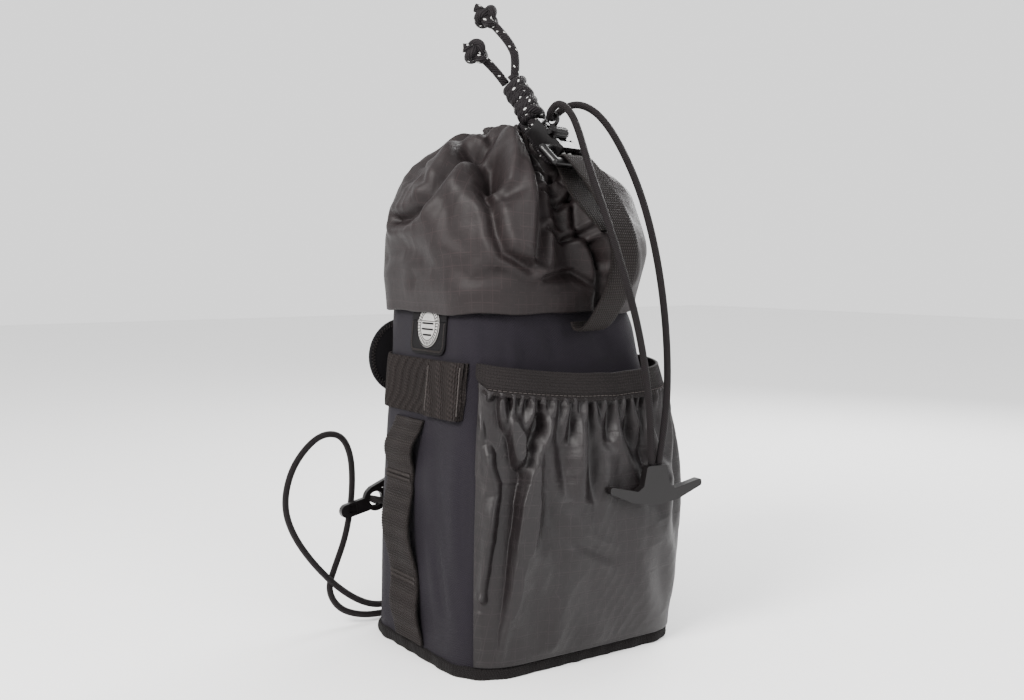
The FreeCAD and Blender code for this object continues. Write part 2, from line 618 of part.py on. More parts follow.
def make_drawcord():
    """The drawcord's feed, the two strands in the lock, the knots and their tails."""
    strand_low = 5.8
    knot_base = in_lock(0, STRANDS_OUT, LOCK_LENGTH + KNOT_START)
    for name, side in (("drawcord_strand_left", -1), ("drawcord_strand_right", 1)):
        offset = side * STRAND_PITCH / 2
        keep(name, lock_rod((offset, STRANDS_OUT, strand_low),
                            (offset, STRANDS_OUT, LOCK_LENGTH + KNOT_START), DRAWCORD / 2))
    for name, side in (("drawcord_feed_left", -1), ("drawcord_feed_right", 1)):
        offset = side * STRAND_PITCH / 2
        exit_point = NECK + Vector(offset + 0.4, -CHANNEL_RADIUS - 1.3, 3.0)
        bend = in_lock(offset, -LOCK_DEPTH / 2 - 2.7, 15.0)
        low = in_lock(offset, -LOCK_DEPTH / 2 - 2.3, 9.2)
        window = in_lock(offset, -LOCK_DEPTH / 2 + LOCK_FLOOR - 1.0, 7.9)
        cord_tube(name, [tuple(exit_point), tuple(bend), tuple(low), tuple(window)], DRAWCORD)
    bulbs = None
    for index in range(KNOT_BULBS):
        centre = knot_base + KNOT_UP * (KNOT_BULB * 0.9 + KNOT_PITCH * index)
        bulb = Part.makeSphere(KNOT_BULB, centre)
        bulbs = bulb if bulbs is None else bulbs.fuse(bulb)
    keep("lanyard_knot", bulbs)
    knot_top = knot_base + KNOT_UP * (KNOT_BULB * 1.8 + KNOT_PITCH * (KNOT_BULBS - 1))
    return knot_top


# ---- Hooks --------------------------------------------------------------------------------------


def make_toggle_hook():
    """Flat hook with a stem for the two cord ends and an arm to each side."""
    top_half, foot_half, arm = 5.2, 8.5, 3.2
    right_side = [
        (top_half, 0.0), (foot_half - 1.5, -9.0), (foot_half + 1.5, -11.0),
        (HOOK_HALF_SPAN, -7.6), (HOOK_HALF_SPAN, -7.6 - arm), (12.0, -16.0), (0.0, -HOOK_HEIGHT),
    ]
    left_side = [(-s, z) for s, z in reversed(right_side[:-1])]
    outline = right_side + left_side
    depth_way = HOOK_ALONG.cross(Vector(0, 0, 1))
    corners = [HOOK_TOP + HOOK_ALONG * s + Vector(0, 0, z) + depth_way * (-HOOK_THICK / 2)
               for s, z in outline]
    hook = Part.Face(Part.makePolygon(corners + corners[:1])).extrude(depth_way * HOOK_THICK)
    upright = [edge for edge in hook.Edges if abs(edge.Length - HOOK_THICK) < 0.01]
    keep("toggle_hook", hook.makeFillet(1.2, upright))


def flat_bar(start, end, half_width):
    """A bar with round ends in the ring hook's plane."""
    (x0, z0), (x1, z1) = start, end
    length = math.hypot(x1 - x0, z1 - z0)
    y = HOOK_PLANE - RING_HOOK_THICK / 2
    away = Vector((x1 - x0) / length, 0, (z1 - z0) / length)
    side = Vector(away.z, 0, -away.x) * half_width
    a, b = Vector(x0, y, z0), Vector(x1, y, z1)
    face = Part.Face(Part.makePolygon([a + side, b + side, b - side, a - side, a + side]))
    bar = face.extrude(Vector(0, RING_HOOK_THICK, 0))
    for centre in (a, b):
        bar = bar.fuse(Part.makeCylinder(half_width, RING_HOOK_THICK, centre, Vector(0, 1, 0)))
    return bar


def flat_disc(centre, radius, extra=0.0):
    """A disc in the ring hook's plane."""
    start = Vector(centre[0], HOOK_PLANE - RING_HOOK_THICK / 2 - extra, centre[1])
    return Part.makeCylinder(radius, RING_HOOK_THICK + 2 * extra, start, Vector(0, 1, 0))


def make_ring_hook():
    """Moulded hook: a finger tab, a ring for its cord, a second ring and an open arm."""
    arm_root = (RING_CENTRE[0] - 2.0, RING_CENTRE[1] + 4.6)
    arm_tip = (-27.0, 75.0)
    hook = flat_disc(RING_CENTRE, RING_OUTER).fuse(flat_disc(SECOND_RING, RING_OUTER - 0.8))
    hook = hook.fuse(flat_bar((RING_CENTRE[0] - 5.0, RING_CENTRE[1] - 2.4), (-64.4, 55.6), 3.4))
    hook = hook.fuse(flat_bar(arm_root, arm_tip, 1.4))
    hook = hook.fuse(flat_bar(arm_tip, (arm_tip[0] + 2.2, arm_tip[1] - 4.0), 1.4))
    hook = hook.cut(flat_disc(RING_CENTRE, RING_HOLE, 1.0))
    hook = hook.cut(flat_disc(SECOND_RING, RING_HOLE - 0.8, 1.0))
    recess = box(-63.5, -59.0, HOOK_PLANE - RING_HOOK_THICK / 2 - 1, HOOK_PLANE - 0.4, 54.4, 58.4)
    keep("ring_hook", hook.cut(recess).removeSplitter())


def make_anchor(name, x_range, y_range, z_range, bores):
    """A folded webbing tab on the back, with a way in for each cord."""
    tab = box(*x_range, *y_range, *z_range)
    for y, z in bores:
        tab = tab.cut(Part.makeCylinder(SHOCK_CORD / 2 + 0.2, 6.0, Vector(x_range[0] - 1, y, z),
                                        Vector(1, 0, 0)))
    keep(name, tab)


# ---- Routes -------------------------------------------------------------------------------------


def make_free_cords(knot_top):
    """Tails, shock cords and the knots at their ends."""
    tail_high = [tuple(knot_top + Vector(1.6, -1.2, -2.0)), (-7.2, -5.8, 271.5), (-8.4, -4.0, 277.0),
                 (-11.2, -0.6, 283.0), (-14.2, 2.0, 287.0)]
    tail_low = [tuple(knot_top + Vector(-1.6, 1.2, -2.0)), (-16.8, -2.4, 266.6), (-21.2, -1.2, 270.6)]
    cord_tube("drawcord_tail_high", tail_high, DRAWCORD)
    cord_tube("drawcord_tail_low", tail_low, DRAWCORD)
    keep("stopper_knot_high", Part.makeSphere(5.2, Vector(-16.6, 4.2, 290.6)))
    keep("stopper_knot_low", Part.makeSphere(5.2, Vector(-25.4, -0.2, 273.2)))
    cord_tube("top_cord_left", TOP_CORD_LEFT, SHOCK_CORD)
    cord_tube("top_cord_right", TOP_CORD_RIGHT, SHOCK_CORD)
    cord_tube("base_cord", BASE_CORD, SHOCK_CORD)
    cord_tube("ring_hook_cord", RING_HOOK_CORD, SHOCK_CORD)


def make_cord_bight():
    """The turn of shock cord that passes through the lock's eyelet, between its two long runs."""
    start = in_lock(-BIGHT_RADIUS, BIGHT_OUT, EYELET_UP)
    middle = in_lock(0, BIGHT_OUT - BIGHT_RADIUS, EYELET_UP)
    end = in_lock(BIGHT_RADIUS, BIGHT_OUT, EYELET_UP)
    path = Part.Wire([Part.Arc(start, middle, end).toShape()])
    circle = Part.Circle(start, LOCK_OUT, SHOCK_CORD / 2)
    keep("top_cord_bight", path.makePipeShell([Part.Wire(circle.toShape())], True, False))


# ---- Pull handle --------------------------------------------------------------------------------


def make_handle():
    """A webbing loop from under the hem, over the ring's bar and back under itself."""
    outward = LOCK_SIDE.cross(Vector(0, 0, 1)).normalize()
    if outward.y > 0:
        outward = -outward
    bar_s = (LOCK_RING - HANDLE_FOOT).dot(outward)
    turn_radius = RING_BAR / 2 + WEBBING_THICK / 2 + 0.3
    over = []
    for degrees in (30, 70, 110, 150, 185):
        angle = math.radians(degrees)
        over.append((bar_s + turn_radius * math.cos(angle), LOCK_RING.z + turn_radius * math.sin(angle)))
    points = HANDLE_LINE + over + HANDLE_RETURN
    keep("pull_handle", profile_sheet(points, WEBBING_THICK, HANDLE_FOOT, outward, HANDLE_WIDTH))


def main():
    """Build every sub-part and write it to its own file."""
    os.makedirs(PART_FOLDER, exist_ok=True)
    make_cup()
    make_collar()
    make_band()
    tack_places = make_daisy_chain("daisy_chain_left", -1)
    make_daisy_chain("daisy_chain_right", 1)
    make_bar_tacks(tack_places)
    make_pocket()
    make_label()
    make_strap()
    make_lock()
    knot_top = make_drawcord()
    make_cord_bight()
    make_handle()
    make_toggle_hook()
    make_ring_hook()
    make_anchor("base_cord_anchor", (-10.0, 10.0), (50.6, 59.0), (1.5, 13.0), ((56.0, 10.0), (56.0, 4.6)))
    make_anchor("hook_cord_anchor", (-15.0, 5.0), (50.0, 60.0), (38.0, 50.0),
                ((56.4, 46.4), (57.0, 41.0)))
    make_free_cords(knot_top)
    for name, shape in NODES.items():
        shape.exportStep(f"{PART_FOLDER}/{name}.step")
        print(f"{name}: solids {len(shape.Solids)}, volume {shape.Volume:.0f}, valid {shape.isValid()}")


main()
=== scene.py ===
import math

import bmesh
import bpy
import numpy as np
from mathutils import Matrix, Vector
from mathutils.bvhtree import BVHTree


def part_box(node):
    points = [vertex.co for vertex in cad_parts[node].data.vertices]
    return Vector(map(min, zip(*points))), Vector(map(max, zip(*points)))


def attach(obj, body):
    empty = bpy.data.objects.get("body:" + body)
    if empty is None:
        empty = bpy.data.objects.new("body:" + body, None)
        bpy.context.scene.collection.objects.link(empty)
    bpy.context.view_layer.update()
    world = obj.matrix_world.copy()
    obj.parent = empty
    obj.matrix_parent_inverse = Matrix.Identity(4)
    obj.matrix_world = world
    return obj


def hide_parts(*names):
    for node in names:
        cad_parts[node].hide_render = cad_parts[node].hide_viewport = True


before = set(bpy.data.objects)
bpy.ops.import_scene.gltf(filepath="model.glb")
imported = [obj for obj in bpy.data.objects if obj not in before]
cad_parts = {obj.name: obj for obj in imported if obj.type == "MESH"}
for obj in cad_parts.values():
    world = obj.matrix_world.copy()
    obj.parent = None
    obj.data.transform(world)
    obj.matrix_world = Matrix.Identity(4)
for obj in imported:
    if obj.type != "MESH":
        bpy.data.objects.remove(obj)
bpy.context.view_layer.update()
MM = 0.001
TAU = 2 * math.pi

# ---- Camera, light and floor --------------------------------------------------------------------
CAMERA_AT = Vector((-0.3000, -0.4324, 0.1779))
CAMERA_FORWARD = Vector((0.5610, 0.8240, -0.0785))


def make_camera():
    data = bpy.data.cameras.new("camera")
    data.lens = 38.87
    data.sensor_width = 36
    data.clip_start = 0.01
    camera = bpy.data.objects.new("camera", data)
    camera.location = CAMERA_AT
    camera.rotation_euler = CAMERA_FORWARD.to_track_quat("-Z", "Y").to_euler()
    bpy.context.scene.collection.objects.link(camera)
    bpy.context.scene.camera = camera


def area_light(name, place, target, size, power, colour=(1, 1, 1)):
    data = bpy.data.lights.new(name, "AREA")
    data.shape = "DISK"
    data.size = size
    data.energy = power
    data.color = colour
    lamp = bpy.data.objects.new(name, data)
    lamp.location = place
    lamp.rotation_euler = (Vector(target) - Vector(place)).to_track_quat("-Z", "Y").to_euler()
    bpy.context.scene.collection.objects.link(lamp)


make_camera()
area_light("key", (-0.85, -0.25, 0.75), (0, 0, 0.14), 0.45, 24.0, (1.0, 0.98, 0.96))
area_light("front", (0.15, -1.1, 0.6), (0, 0, 0.12), 0.6, 9.0)
area_light("rim", (0.7, 0.3, 0.6), (0, 0, 0.16), 0.5, 8.0)
world = bpy.data.worlds.new("studio")
bpy.context.scene.world = world
world.use_nodes = True
world.node_tree.nodes["Background"].inputs["Color"].default_value = (1, 1, 1, 1)
world.node_tree.nodes["Background"].inputs["Strength"].default_value = 1.5


# ---- Materials ----------------------------------------------------------------------------------
# Sockets of a colour Mix node, which share their names with the node's other kinds.
MIX_FACTOR, MIX_FIRST, MIX_SECOND = 0, 6, 7
MIX_COLOUR = 2
NOISE_ROUGHNESS = 0.55


class Shader:
    """A small helper to write node materials in a few lines."""

    def __init__(self, name, colour, roughness, sheen=0.0, specular=0.5):
        self.material = bpy.data.materials.new(name)
        self.material.use_nodes = True
        self.tree = self.material.node_tree
        self.shader = self.tree.nodes["Principled BSDF"]
        self.set("Base Color", (*colour, 1))
        self.set("Roughness", roughness)
        self.set("Sheen Weight", sheen)
        self.set("Sheen Roughness", 0.5)
        self.set("Specular IOR Level", specular)
        self.colour = colour

    def set(self, socket, value):
        self.shader.inputs[socket].default_value = value

    def node(self, kind, **settings):
        item = self.tree.nodes.new("ShaderNode" + kind)
        for key, value in settings.items():
            setattr(item, key, value)
        return item

    def link(self, source, target):
        self.tree.links.new(source, target)

    def math(self, operation, first, second=None, third=None):
        item = self.node("Math", operation=operation)
        for index, value in enumerate((first, second, third)):
            if value is None:
                continue
            if isinstance(value, (int, float)):
                item.inputs[index].default_value = value
            else:
                self.link(value, item.inputs[index])
        return item.outputs[0]

    def weighted(self, *pairs):
        """The sum of some values, each times its share."""
        total = None
        for value, share in pairs:
            if total is None:
                total = self.math("MULTIPLY", value, share)
            else:
                total = self.math("MULTIPLY_ADD", value, share, total)
        return total

    def place(self):
        """The two coordinates of the UV map, in millimetres."""
        item = self.node("TexCoord")
        split = self.node("SeparateXYZ")
        self.link(item.outputs["UV"], split.inputs[0])
        return split.outputs[0], split.outputs[1]

    def noise(self, scale, detail):
        item = self.node("TexNoise")
        item.inputs["Scale"].default_value = scale
        item.inputs["Detail"].default_value = detail
        item.inputs["Roughness"].default_value = NOISE_ROUGHNESS
        coordinates = self.node("TexCoord")
        self.link(coordinates.outputs["Object"], item.inputs["Vector"])
        return item.outputs["Fac"]

    def fraction(self, value, pitch):
        """How far a value is through its pitch, from 0 to 1."""
        return self.math("FRACT", self.math("DIVIDE", value, pitch))

    def wave(self, value, pitch):
        """0 to 1 and back once every pitch."""
        sine = self.math("SINE", self.math("MULTIPLY", value, TAU / pitch))
        return self.math("MULTIPLY_ADD", sine, 0.5, 0.5)

    def lines(self, value, pitch, width):
        """1 on thin lines every pitch, 0 between them."""
        phase = self.math("ABSOLUTE", self.math("SUBTRACT", self.fraction(value, pitch), 0.5))
        return self.math("LESS_THAN", phase, width / pitch / 2)

    def between(self, factor, low, high):
        """A colour ramp between two shades of the base colour."""
        item = self.node("Mix", data_type="RGBA")
        item.inputs[MIX_FIRST].default_value = (*[c * low for c in self.colour], 1)
        item.inputs[MIX_SECOND].default_value = (*[c * high for c in self.colour], 1)
        self.link(factor, item.inputs[MIX_FACTOR])
        return item.outputs[MIX_COLOUR]

    def finish(self, factor, low, high, bump, strength, distance, rough=None):
        self.link(self.between(factor, low, high), self.shader.inputs["Base Color"])
        item = self.node("Bump")
        item.inputs["Strength"].default_value = strength
        item.inputs["Distance"].default_value = distance
        self.link(bump, item.inputs["Height"])
        self.link(item.outputs["Normal"], self.shader.inputs["Normal"])
        if rough:
            source, least, most = rough
            span = self.node("MapRange")
            span.inputs["To Min"].default_value = least
            span.inputs["To Max"].default_value = most
            self.link(source, span.inputs["Value"])
            self.link(span.outputs[0], self.shader.inputs["Roughness"])
        return self.material


def twill(name, colour, pitch=0.95):
    """Fine diagonal twill; the UV map is in millimetres."""
    s = Shader(name, colour, 0.66, sheen=0.006, specular=0.12)
    u, v = s.place()
    diagonal = s.wave(s.math("ADD", u, s.math("MULTIPLY", v, 0.8)), pitch)
    cross = s.wave(s.math("SUBTRACT", v, s.math("MULTIPLY", u, 0.35)), pitch * 0.8)
    weave = s.weighted((diagonal, 0.65), (cross, 0.35))
    cloudy = s.noise(28, 4)
    factor = s.weighted((weave, 0.35), (s.noise(900, 2), 0.2), (cloudy, 0.45))
    return s.finish(factor, 0.45, 1.7, weave, 0.8, 0.0003, (cloudy, 0.55, 0.75))


def ripstop(name, colour, grid=5.2, gloss=0.42, specular=0.3):
    """Smooth nylon with a grid of thicker threads."""
    s = Shader(name, colour, gloss, sheen=0.005, specular=specular)
    u, v = s.place()
    wobble = s.math("MULTIPLY", s.math("SUBTRACT", s.noise(60, 2), 0.5), 0.5)
    along, up = s.math("ADD", u, wobble), s.math("ADD", v, wobble)
    grid_lines = s.math("MAXIMUM", s.lines(along, grid, 0.42), s.lines(up, grid, 0.42))
    beside, above = s.math("ADD", along, 1.1), s.math("ADD", up, 1.1)
    twin = s.math("MAXIMUM", s.lines(beside, grid, 0.3), s.lines(above, grid, 0.3))
    threads = s.math("MULTIPLY", s.wave(u, 0.5), s.wave(v, 0.5))
    broken = s.math("MULTIPLY", grid_lines, s.math("GREATER_THAN", s.noise(110, 1), 0.43))
    line = s.math("MULTIPLY_ADD", twin, 0.35, broken)
    cloudy = s.noise(22, 5)
    factor = s.weighted((cloudy, 0.5), (threads, 0.12), (line, 0.38))
    height = s.weighted((s.noise(260, 4), 0.8), (threads, 0.3), (line, 0.7))
    return s.finish(factor, 0.4, 2.3, height, 0.5, 0.00028, (cloudy, gloss - 0.08, gloss + 0.16))


def webbing(name, colour, rib=1.0, cross=0.75, gloss=0.62):
    """Woven tape; ribs run across v, and short stitches break them along u."""
    s = Shader(name, colour, gloss, sheen=0.008, specular=0.1)
    u, v = s.place()
    row = s.math("FLOOR", s.math("DIVIDE", v, rib))
    shifted = s.math("MULTIPLY_ADD", row, cross * 0.5, u)
    bead = s.math("MULTIPLY", s.wave(shifted, cross * 2), s.wave(v, rib))
    cloudy = s.noise(45, 4)
    factor = s.weighted((s.noise(1200, 2), 0.15), (cloudy, 0.35), (bead, 0.5))
    return s.finish(factor, 0.3, 2.4, bead, 0.9, 0.0006, (cloudy, gloss - 0.05, gloss + 0.2))


def braid(name, colour, pitch=1.3, flecks=0.0):
    """Braided cord: two families of crossing strands, with a few light tracer threads."""
    s = Shader(name, colour, 0.6, sheen=0.008, specular=0.14)
    u, v = s.place()
    left = s.wave(s.math("ADD", u, v), pitch)
    right = s.wave(s.math("SUBTRACT", u, v), pitch)
    alone = s.math("MULTIPLY", left, s.math("SUBTRACT", 1.0, right))
    weave = s.math("MAXIMUM", alone, s.math("MULTIPLY", right, left))
    cloudy = s.noise(80, 3)
    factor = s.weighted((cloudy, 0.4), (weave, 0.6))
    material = s.finish(factor, 0.35, 2.2, weave, 0.9, 0.0005, (cloudy, 0.5, 0.7))
    if flecks:
        one_way = s.math("LESS_THAN", s.fraction(s.math("ADD", u, v), 9.0), 0.1)
        other_way = s.math("LESS_THAN", s.fraction(s.math("SUBTRACT", u, v), 5.0), 0.3)
        item = s.node("Mix", data_type="RGBA")
        s.link(s.math("MULTIPLY", one_way, other_way), item.inputs[MIX_FACTOR])
        s.link(s.shader.inputs["Base Color"].links[0].from_socket, item.inputs[MIX_FIRST])
        item.inputs[MIX_SECOND].default_value = (flecks, flecks, flecks * 0.97, 1)
        s.link(item.outputs[MIX_COLOUR], s.shader.inputs["Base Color"])
    return material


def moulded(name, colour, gloss=0.34):
    """Moulded nylon with fine grain and light scuffs."""
    s = Shader(name, colour, gloss, specular=0.28)
    grain = s.noise(1500, 3)
    scuffs = s.noise(130, 5)
    factor = s.weighted((scuffs, 0.7), (grain, 0.3))
    return s.finish(factor, 0.7, 1.4, grain, 0.16, 0.0001, (scuffs, gloss - 0.1, gloss + 0.2))


def foam(name, colour):
    """Closed-cell foam."""
    s = Shader(name, colour, 0.85, specular=0.1)
    cells = s.noise(1800, 2)
    return s.finish(cells, 0.8, 1.3, cells, 0.4, 0.0002)


# Distance from rib to rib of the webbing, in mm.
RIB = 1.25
COARSE_RIB = 1.8
M = {
    "twill": twill("twill", (0.0060, 0.0046, 0.0072)),
    "ripstop": ripstop("ripstop", (0.0080, 0.0052, 0.0054), gloss=0.48, specular=0.2),
    "pocket": ripstop("pocket_ripstop", (0.0058, 0.0042, 0.0046), gloss=0.38, specular=0.26),
    "webbing": webbing("webbing", (0.0100, 0.0078, 0.0074), rib=RIB),
    "coarse": webbing("webbing_coarse", (0.0100, 0.0078, 0.0074), rib=COARSE_RIB, cross=1.1),
    "elastic": webbing("elastic", (0.0095, 0.0078, 0.0078), rib=1.35, cross=0.4, gloss=0.6),
    "tape": webbing("binding_tape", (0.0052, 0.0042, 0.0042), rib=0.8, cross=0.6),
    "strap": foam("loop_fabric", (0.0032, 0.0028, 0.0034)),
    "thread": webbing("thread", (0.060, 0.052, 0.050), rib=0.4, cross=0.3),
    "cord": braid("shock_cord", (0.0062, 0.0045, 0.0050), pitch=1.1),
    "paracord": braid("drawcord", (0.0062, 0.0048, 0.0056), pitch=1.5, flecks=0.5),
    "plastic": moulded("moulded_plastic", (0.0030, 0.0025, 0.0027), gloss=0.26),
    "hook": moulded("hook_plastic", (0.0034, 0.0027, 0.0029), gloss=0.34),
    "board": moulded("board_plastic", (0.05, 0.05, 0.05), gloss=0.5),
    "foam": foam("foam", (0.03, 0.03, 0.032)),
    "liner": twill("liner", (0.05, 0.05, 0.055), pitch=0.5),
    "label": webbing("label", (0.0040, 0.0034, 0.0040), rib=0.5, cross=0.4),
    "print": webbing("label_print", (0.40, 0.39, 0.38), rib=0.45, cross=0.35),
}


# ---- Mesh helpers -------------------------------------------------------------------------------
WEBBING_THICK = 1.3


def add_object(name, data, material, body):
    """A mesh in the scene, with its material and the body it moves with."""
    item = bpy.data.objects.new(name, data)
    bpy.context.scene.collection.objects.link(item)
    data.materials.append(M[material])
    data.polygons.foreach_set("use_smooth", [True] * len(data.polygons))
    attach(item, body)
    return item


def grid_data(name, points, uv, closed=False):
    """A mesh of quads from rows of points, with a UV map in millimetres."""
    rows, columns = points.shape[:2]
    faces, corners = [], []
    last = columns if closed else columns - 1
    for r in range(rows - 1):
        for c in range(last):
            d = (c + 1) % columns
            below, above = r * columns, (r + 1) * columns
            faces.append((below + c, below + d, above + d, above + c))
            corners.extend(((r, c), (r, c + 1), (r + 1, c + 1), (r + 1, c)))
    data = bpy.data.meshes.new(name)
    data.from_pydata([tuple(p) for p in points.reshape(-1, 3)], [], faces)
    layer = data.uv_layers.new(name="weave")
    corners = np.array(corners)
    flat = uv[corners[:, 0], corners[:, 1]]
    layer.data.foreach_set("uv", flat.reshape(-1).astype(np.float32))
    return data


def uv_from(points, closed=False):
    """Arc lengths in millimetres, along each row from its middle and up from the first row."""
    ring = np.concatenate([points, points[:, :1]], axis=1) if closed else points
    steps = np.linalg.norm(np.diff(ring, axis=1), axis=2) / MM
    u = np.concatenate([np.zeros((len(points), 1)), np.cumsum(steps, axis=1)], axis=1)
    if closed:
        u = np.repeat(u[len(u) // 4:len(u) // 4 + 1], len(u), axis=0)
    else:
        u = u - u[:, -1:] / 2
    rise = np.linalg.norm(np.diff(points, axis=0), axis=2).mean(axis=1) / MM
    v = np.concatenate([[0], np.cumsum(rise)])[:, None].repeat(u.shape[1], axis=1)
    return np.stack([u, v], axis=2)


def normals_of(points, closed=False):
    """Unit normals of a grid of points, by central differences."""
    if closed:
        along = np.roll(points, -1, axis=1) - np.roll(points, 1, axis=1)
    else:
        along = np.gradient(points, axis=1)
    up = np.gradient(points, axis=0)
    normal = np.cross(along, up)
    return normal / np.maximum(np.linalg.norm(normal, axis=2, keepdims=True), 1e-12)


def soften_rows(points):
    """Even out each row with the rows beside it, but for the first and the last."""
    points[1:-1] = points[1:-1] * 0.5 + (points[:-2] + points[2:]) * 0.25


def soften_columns(points):
    """Even out each column with the columns beside it, but for the first and the last."""
    points[:, 1:-1] = points[:, 1:-1] * 0.5 + (points[:, :-2] + points[:, 2:]) * 0.25


def round_the_back(points, normal):
    """Rows of points carried on behind themselves to the first row, to give webbing its thickness."""
    back = points[::-1] - normal[::-1] * WEBBING_THICK * MM
    return np.concatenate([points, back, points[:1]])


def unit(vector):
    return vector / np.linalg.norm(vector)


def reaches(line):
    """Distance along a line of points to each of them."""
    return np.concatenate([[0], np.cumsum(np.linalg.norm(np.diff(line, axis=0), axis=1))])


def at_reach(distance, reach, values):
    """The place on a line of points at a distance along it."""
    return np.array([np.interp(distance, reach, values[:, k]) for k in range(3)])


def thicken(item, thickness, offset=-1.0):
    solid = item.modifiers.new("thickness", "SOLIDIFY")
    solid.thickness = thickness
    solid.offset = offset
    solid.use_even_offset = False


class Skin:
    """Rays against CAD nodes, to find where their outside is."""

    def __init__(self, *nodes):
        self.trees = []
        for node in nodes:
            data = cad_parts[node].data
            corners = [v.co.copy() for v in data.vertices]
            self.trees.append(BVHTree.FromPolygons(corners, [tuple(p.vertices) for p in data.polygons]))

    def hit(self, origin, direction, reach=0.2):
        start = origin + direction * reach
        best = None
        for tree in self.trees:
            place = tree.ray_cast(start, -direction, reach)[0]
            if place is not None and (best is None or (place - start).length < (best - start).length):
                best = place
        return best

    def around(self, azimuth, z):
        """The outermost point at a height and a direction: 0 is the front, positive towards +X."""
        direction = Vector((math.sin(azimuth), -math.cos(azimuth), 0))
        return self.hit(Vector((0, 0, z)), direction)


def smooth_step(low, high, value):
    t = np.clip((value - low) / (high - low), 0, 1)
    return t * t * (3 - 2 * t)


def ripple(angle, height, waves, strength, seed):
    """Soft, uneven waves over a surface: each family has its least and most count and its slope."""
    generator = np.random.default_rng(seed)
    total = np.zeros(np.broadcast(angle, height).shape)
    for low, high, rise in waves:
        for _ in range(3):
            count = generator.integers(low, high + 1)
            phase, tilt = generator.uniform(0, TAU), generator.uniform(-rise, rise)
            total = total + np.sin(count * angle + tilt * height + phase) / (3 * len(waves))
    return strength * total


def to_line(s, t, path):
    """Distance from a polyline, and which side of it a point is on."""
    distance = np.full(s.shape, 1e9)
    side = np.zeros(s.shape)
    for (s0, t0), (s1, t1) in zip(path[:-1], path[1:]):
        ds, dt = s1 - s0, t1 - t0
        share = np.clip(((s - s0) * ds + (t - t0) * dt) / (ds * ds + dt * dt), 0, 1)
        x, y = s - s0 - share * ds, t - t0 - share * dt
        here = np.hypot(x, y)
        nearer = here < distance
        side = np.where(nearer, (ds * y - dt * x) / math.hypot(ds, dt) / np.maximum(here, 0.3), side)
        distance = np.minimum(distance, here)
    return distance, side


def creases(s, z, segments):
    """Dents along straight lines in a surface's own millimetres: s0, z0, s1, z1, width, depth."""
    total = np.zeros(np.broadcast(s, z).shape)
    for s0, z0, s1, z1, width, depth in segments:
        ds, dz = s1 - s0, z1 - z0
        length = math.hypot(ds, dz)
        t = ((s - s0) * ds + (z - z0) * dz) / length ** 2
        side = ((s - s0) * dz - (z - z0) * ds) / length
        near = np.clip(t, 0, 1)
        over = (t - near) * length
        ends = np.sin(np.pi * np.clip(near, 0.02, 0.98)) ** 0.6
        distance = np.sqrt(side ** 2 + over ** 2) / width
        total -= depth * ends * (np.exp(-distance ** 2) - 0.45 * np.exp(-(distance - 1.9) ** 2 / 0.8))
    return total


def tube_mesh(name, line, diameter, sides=14):
    """A closed tube along a polyline, with a UV map in millimetres."""
    line = np.array(line)
    tangent = np.gradient(line, axis=0)
    tangent /= np.linalg.norm(tangent, axis=1, keepdims=True)
    side = np.cross(tangent[0], [0.1, 0.3, 1.0])
    rings = []
    for point, forward in zip(line, tangent):
        side = side - forward * side.dot(forward)
        side /= np.linalg.norm(side)
        other = np.cross(forward, side)
        turn = np.arange(sides) * TAU / sides
        rings.append(point + (np.outer(np.cos(turn), side) + np.outer(np.sin(turn), other)) * diameter / 2)
    rings = np.array(rings)
    lengths = reaches(line) / MM
    around = np.arange(sides + 1) * (math.pi * diameter / MM / sides)
    u = lengths[:, None].repeat(sides + 1, axis=1)
    v = around[None, :].repeat(len(line), axis=0)
    data = grid_data(name, rings, np.stack([u, v], axis=2), closed=True)
    mesh = bmesh.new()
    mesh.from_mesh(data)
    mesh.verts.ensure_lookup_table()
    mesh.faces.new([mesh.verts[i] for i in range(sides)][::-1])
    mesh.faces.new([mesh.verts[len(mesh.verts) - sides + i] for i in range(sides)])
    mesh.normal_update()
    mesh.to_mesh(data)
    mesh.free()
    return data


def smooth_line(points, resolution=12):
    """The NURBS line that has these points, in metres, as its control points."""
    curve = bpy.data.curves.new("route", "CURVE")
    curve.dimensions = "3D"
    curve.resolution_u = resolution
    spline = curve.splines.new("NURBS")
    spline.points.add(len(points) - 1)
    for target, point in zip(spline.points, points):
        target.co = (*point, 1)
    spline.order_u = 3
    spline.use_endpoint_u = True
    item = bpy.data.objects.new("route", curve)
    bpy.context.scene.collection.objects.link(item)
    bpy.context.view_layer.update()
    mesh = bpy.data.meshes.new_from_object(item)
    line = [tuple(v.co) for v in mesh.vertices]
    bpy.data.objects.remove(item)
    bpy.data.curves.remove(curve)
    bpy.data.meshes.remove(mesh)
    return line


def join_data(name, parts):
    """One mesh from several, keeping their UV maps."""
    mesh = bmesh.new()
    for part in parts:
        mesh.from_mesh(part)
        bpy.data.meshes.remove(part)
    data = bpy.data.meshes.new(name)
    mesh.to_mesh(data)
    mesh.free()
    return data


def stitch_row(name, line, normals, pitch, length, radius, lift=0.0):
    """Short rounded stitches along a line of points, each lying on the surface."""
    line, normals = np.array(line), np.array(normals)
    reach = reaches(line)
    parts = []
    for start in np.arange(pitch / 2, reach[-1] - length, pitch):
        ends = []
        for distance in np.linspace(start, start + length, 5):
            place = at_reach(distance, reach, line)
            out = at_reach(distance, reach, normals)
            bow = math.sin(math.pi * (distance - start) / length)
            ends.append(place + out / np.linalg.norm(out) * (lift + radius * (bow - 0.5)))
        parts.append(tube_mesh("stitch", ends, radius * 2, sides=6))
    add_object(name, join_data(name, parts), "thread", "bag")


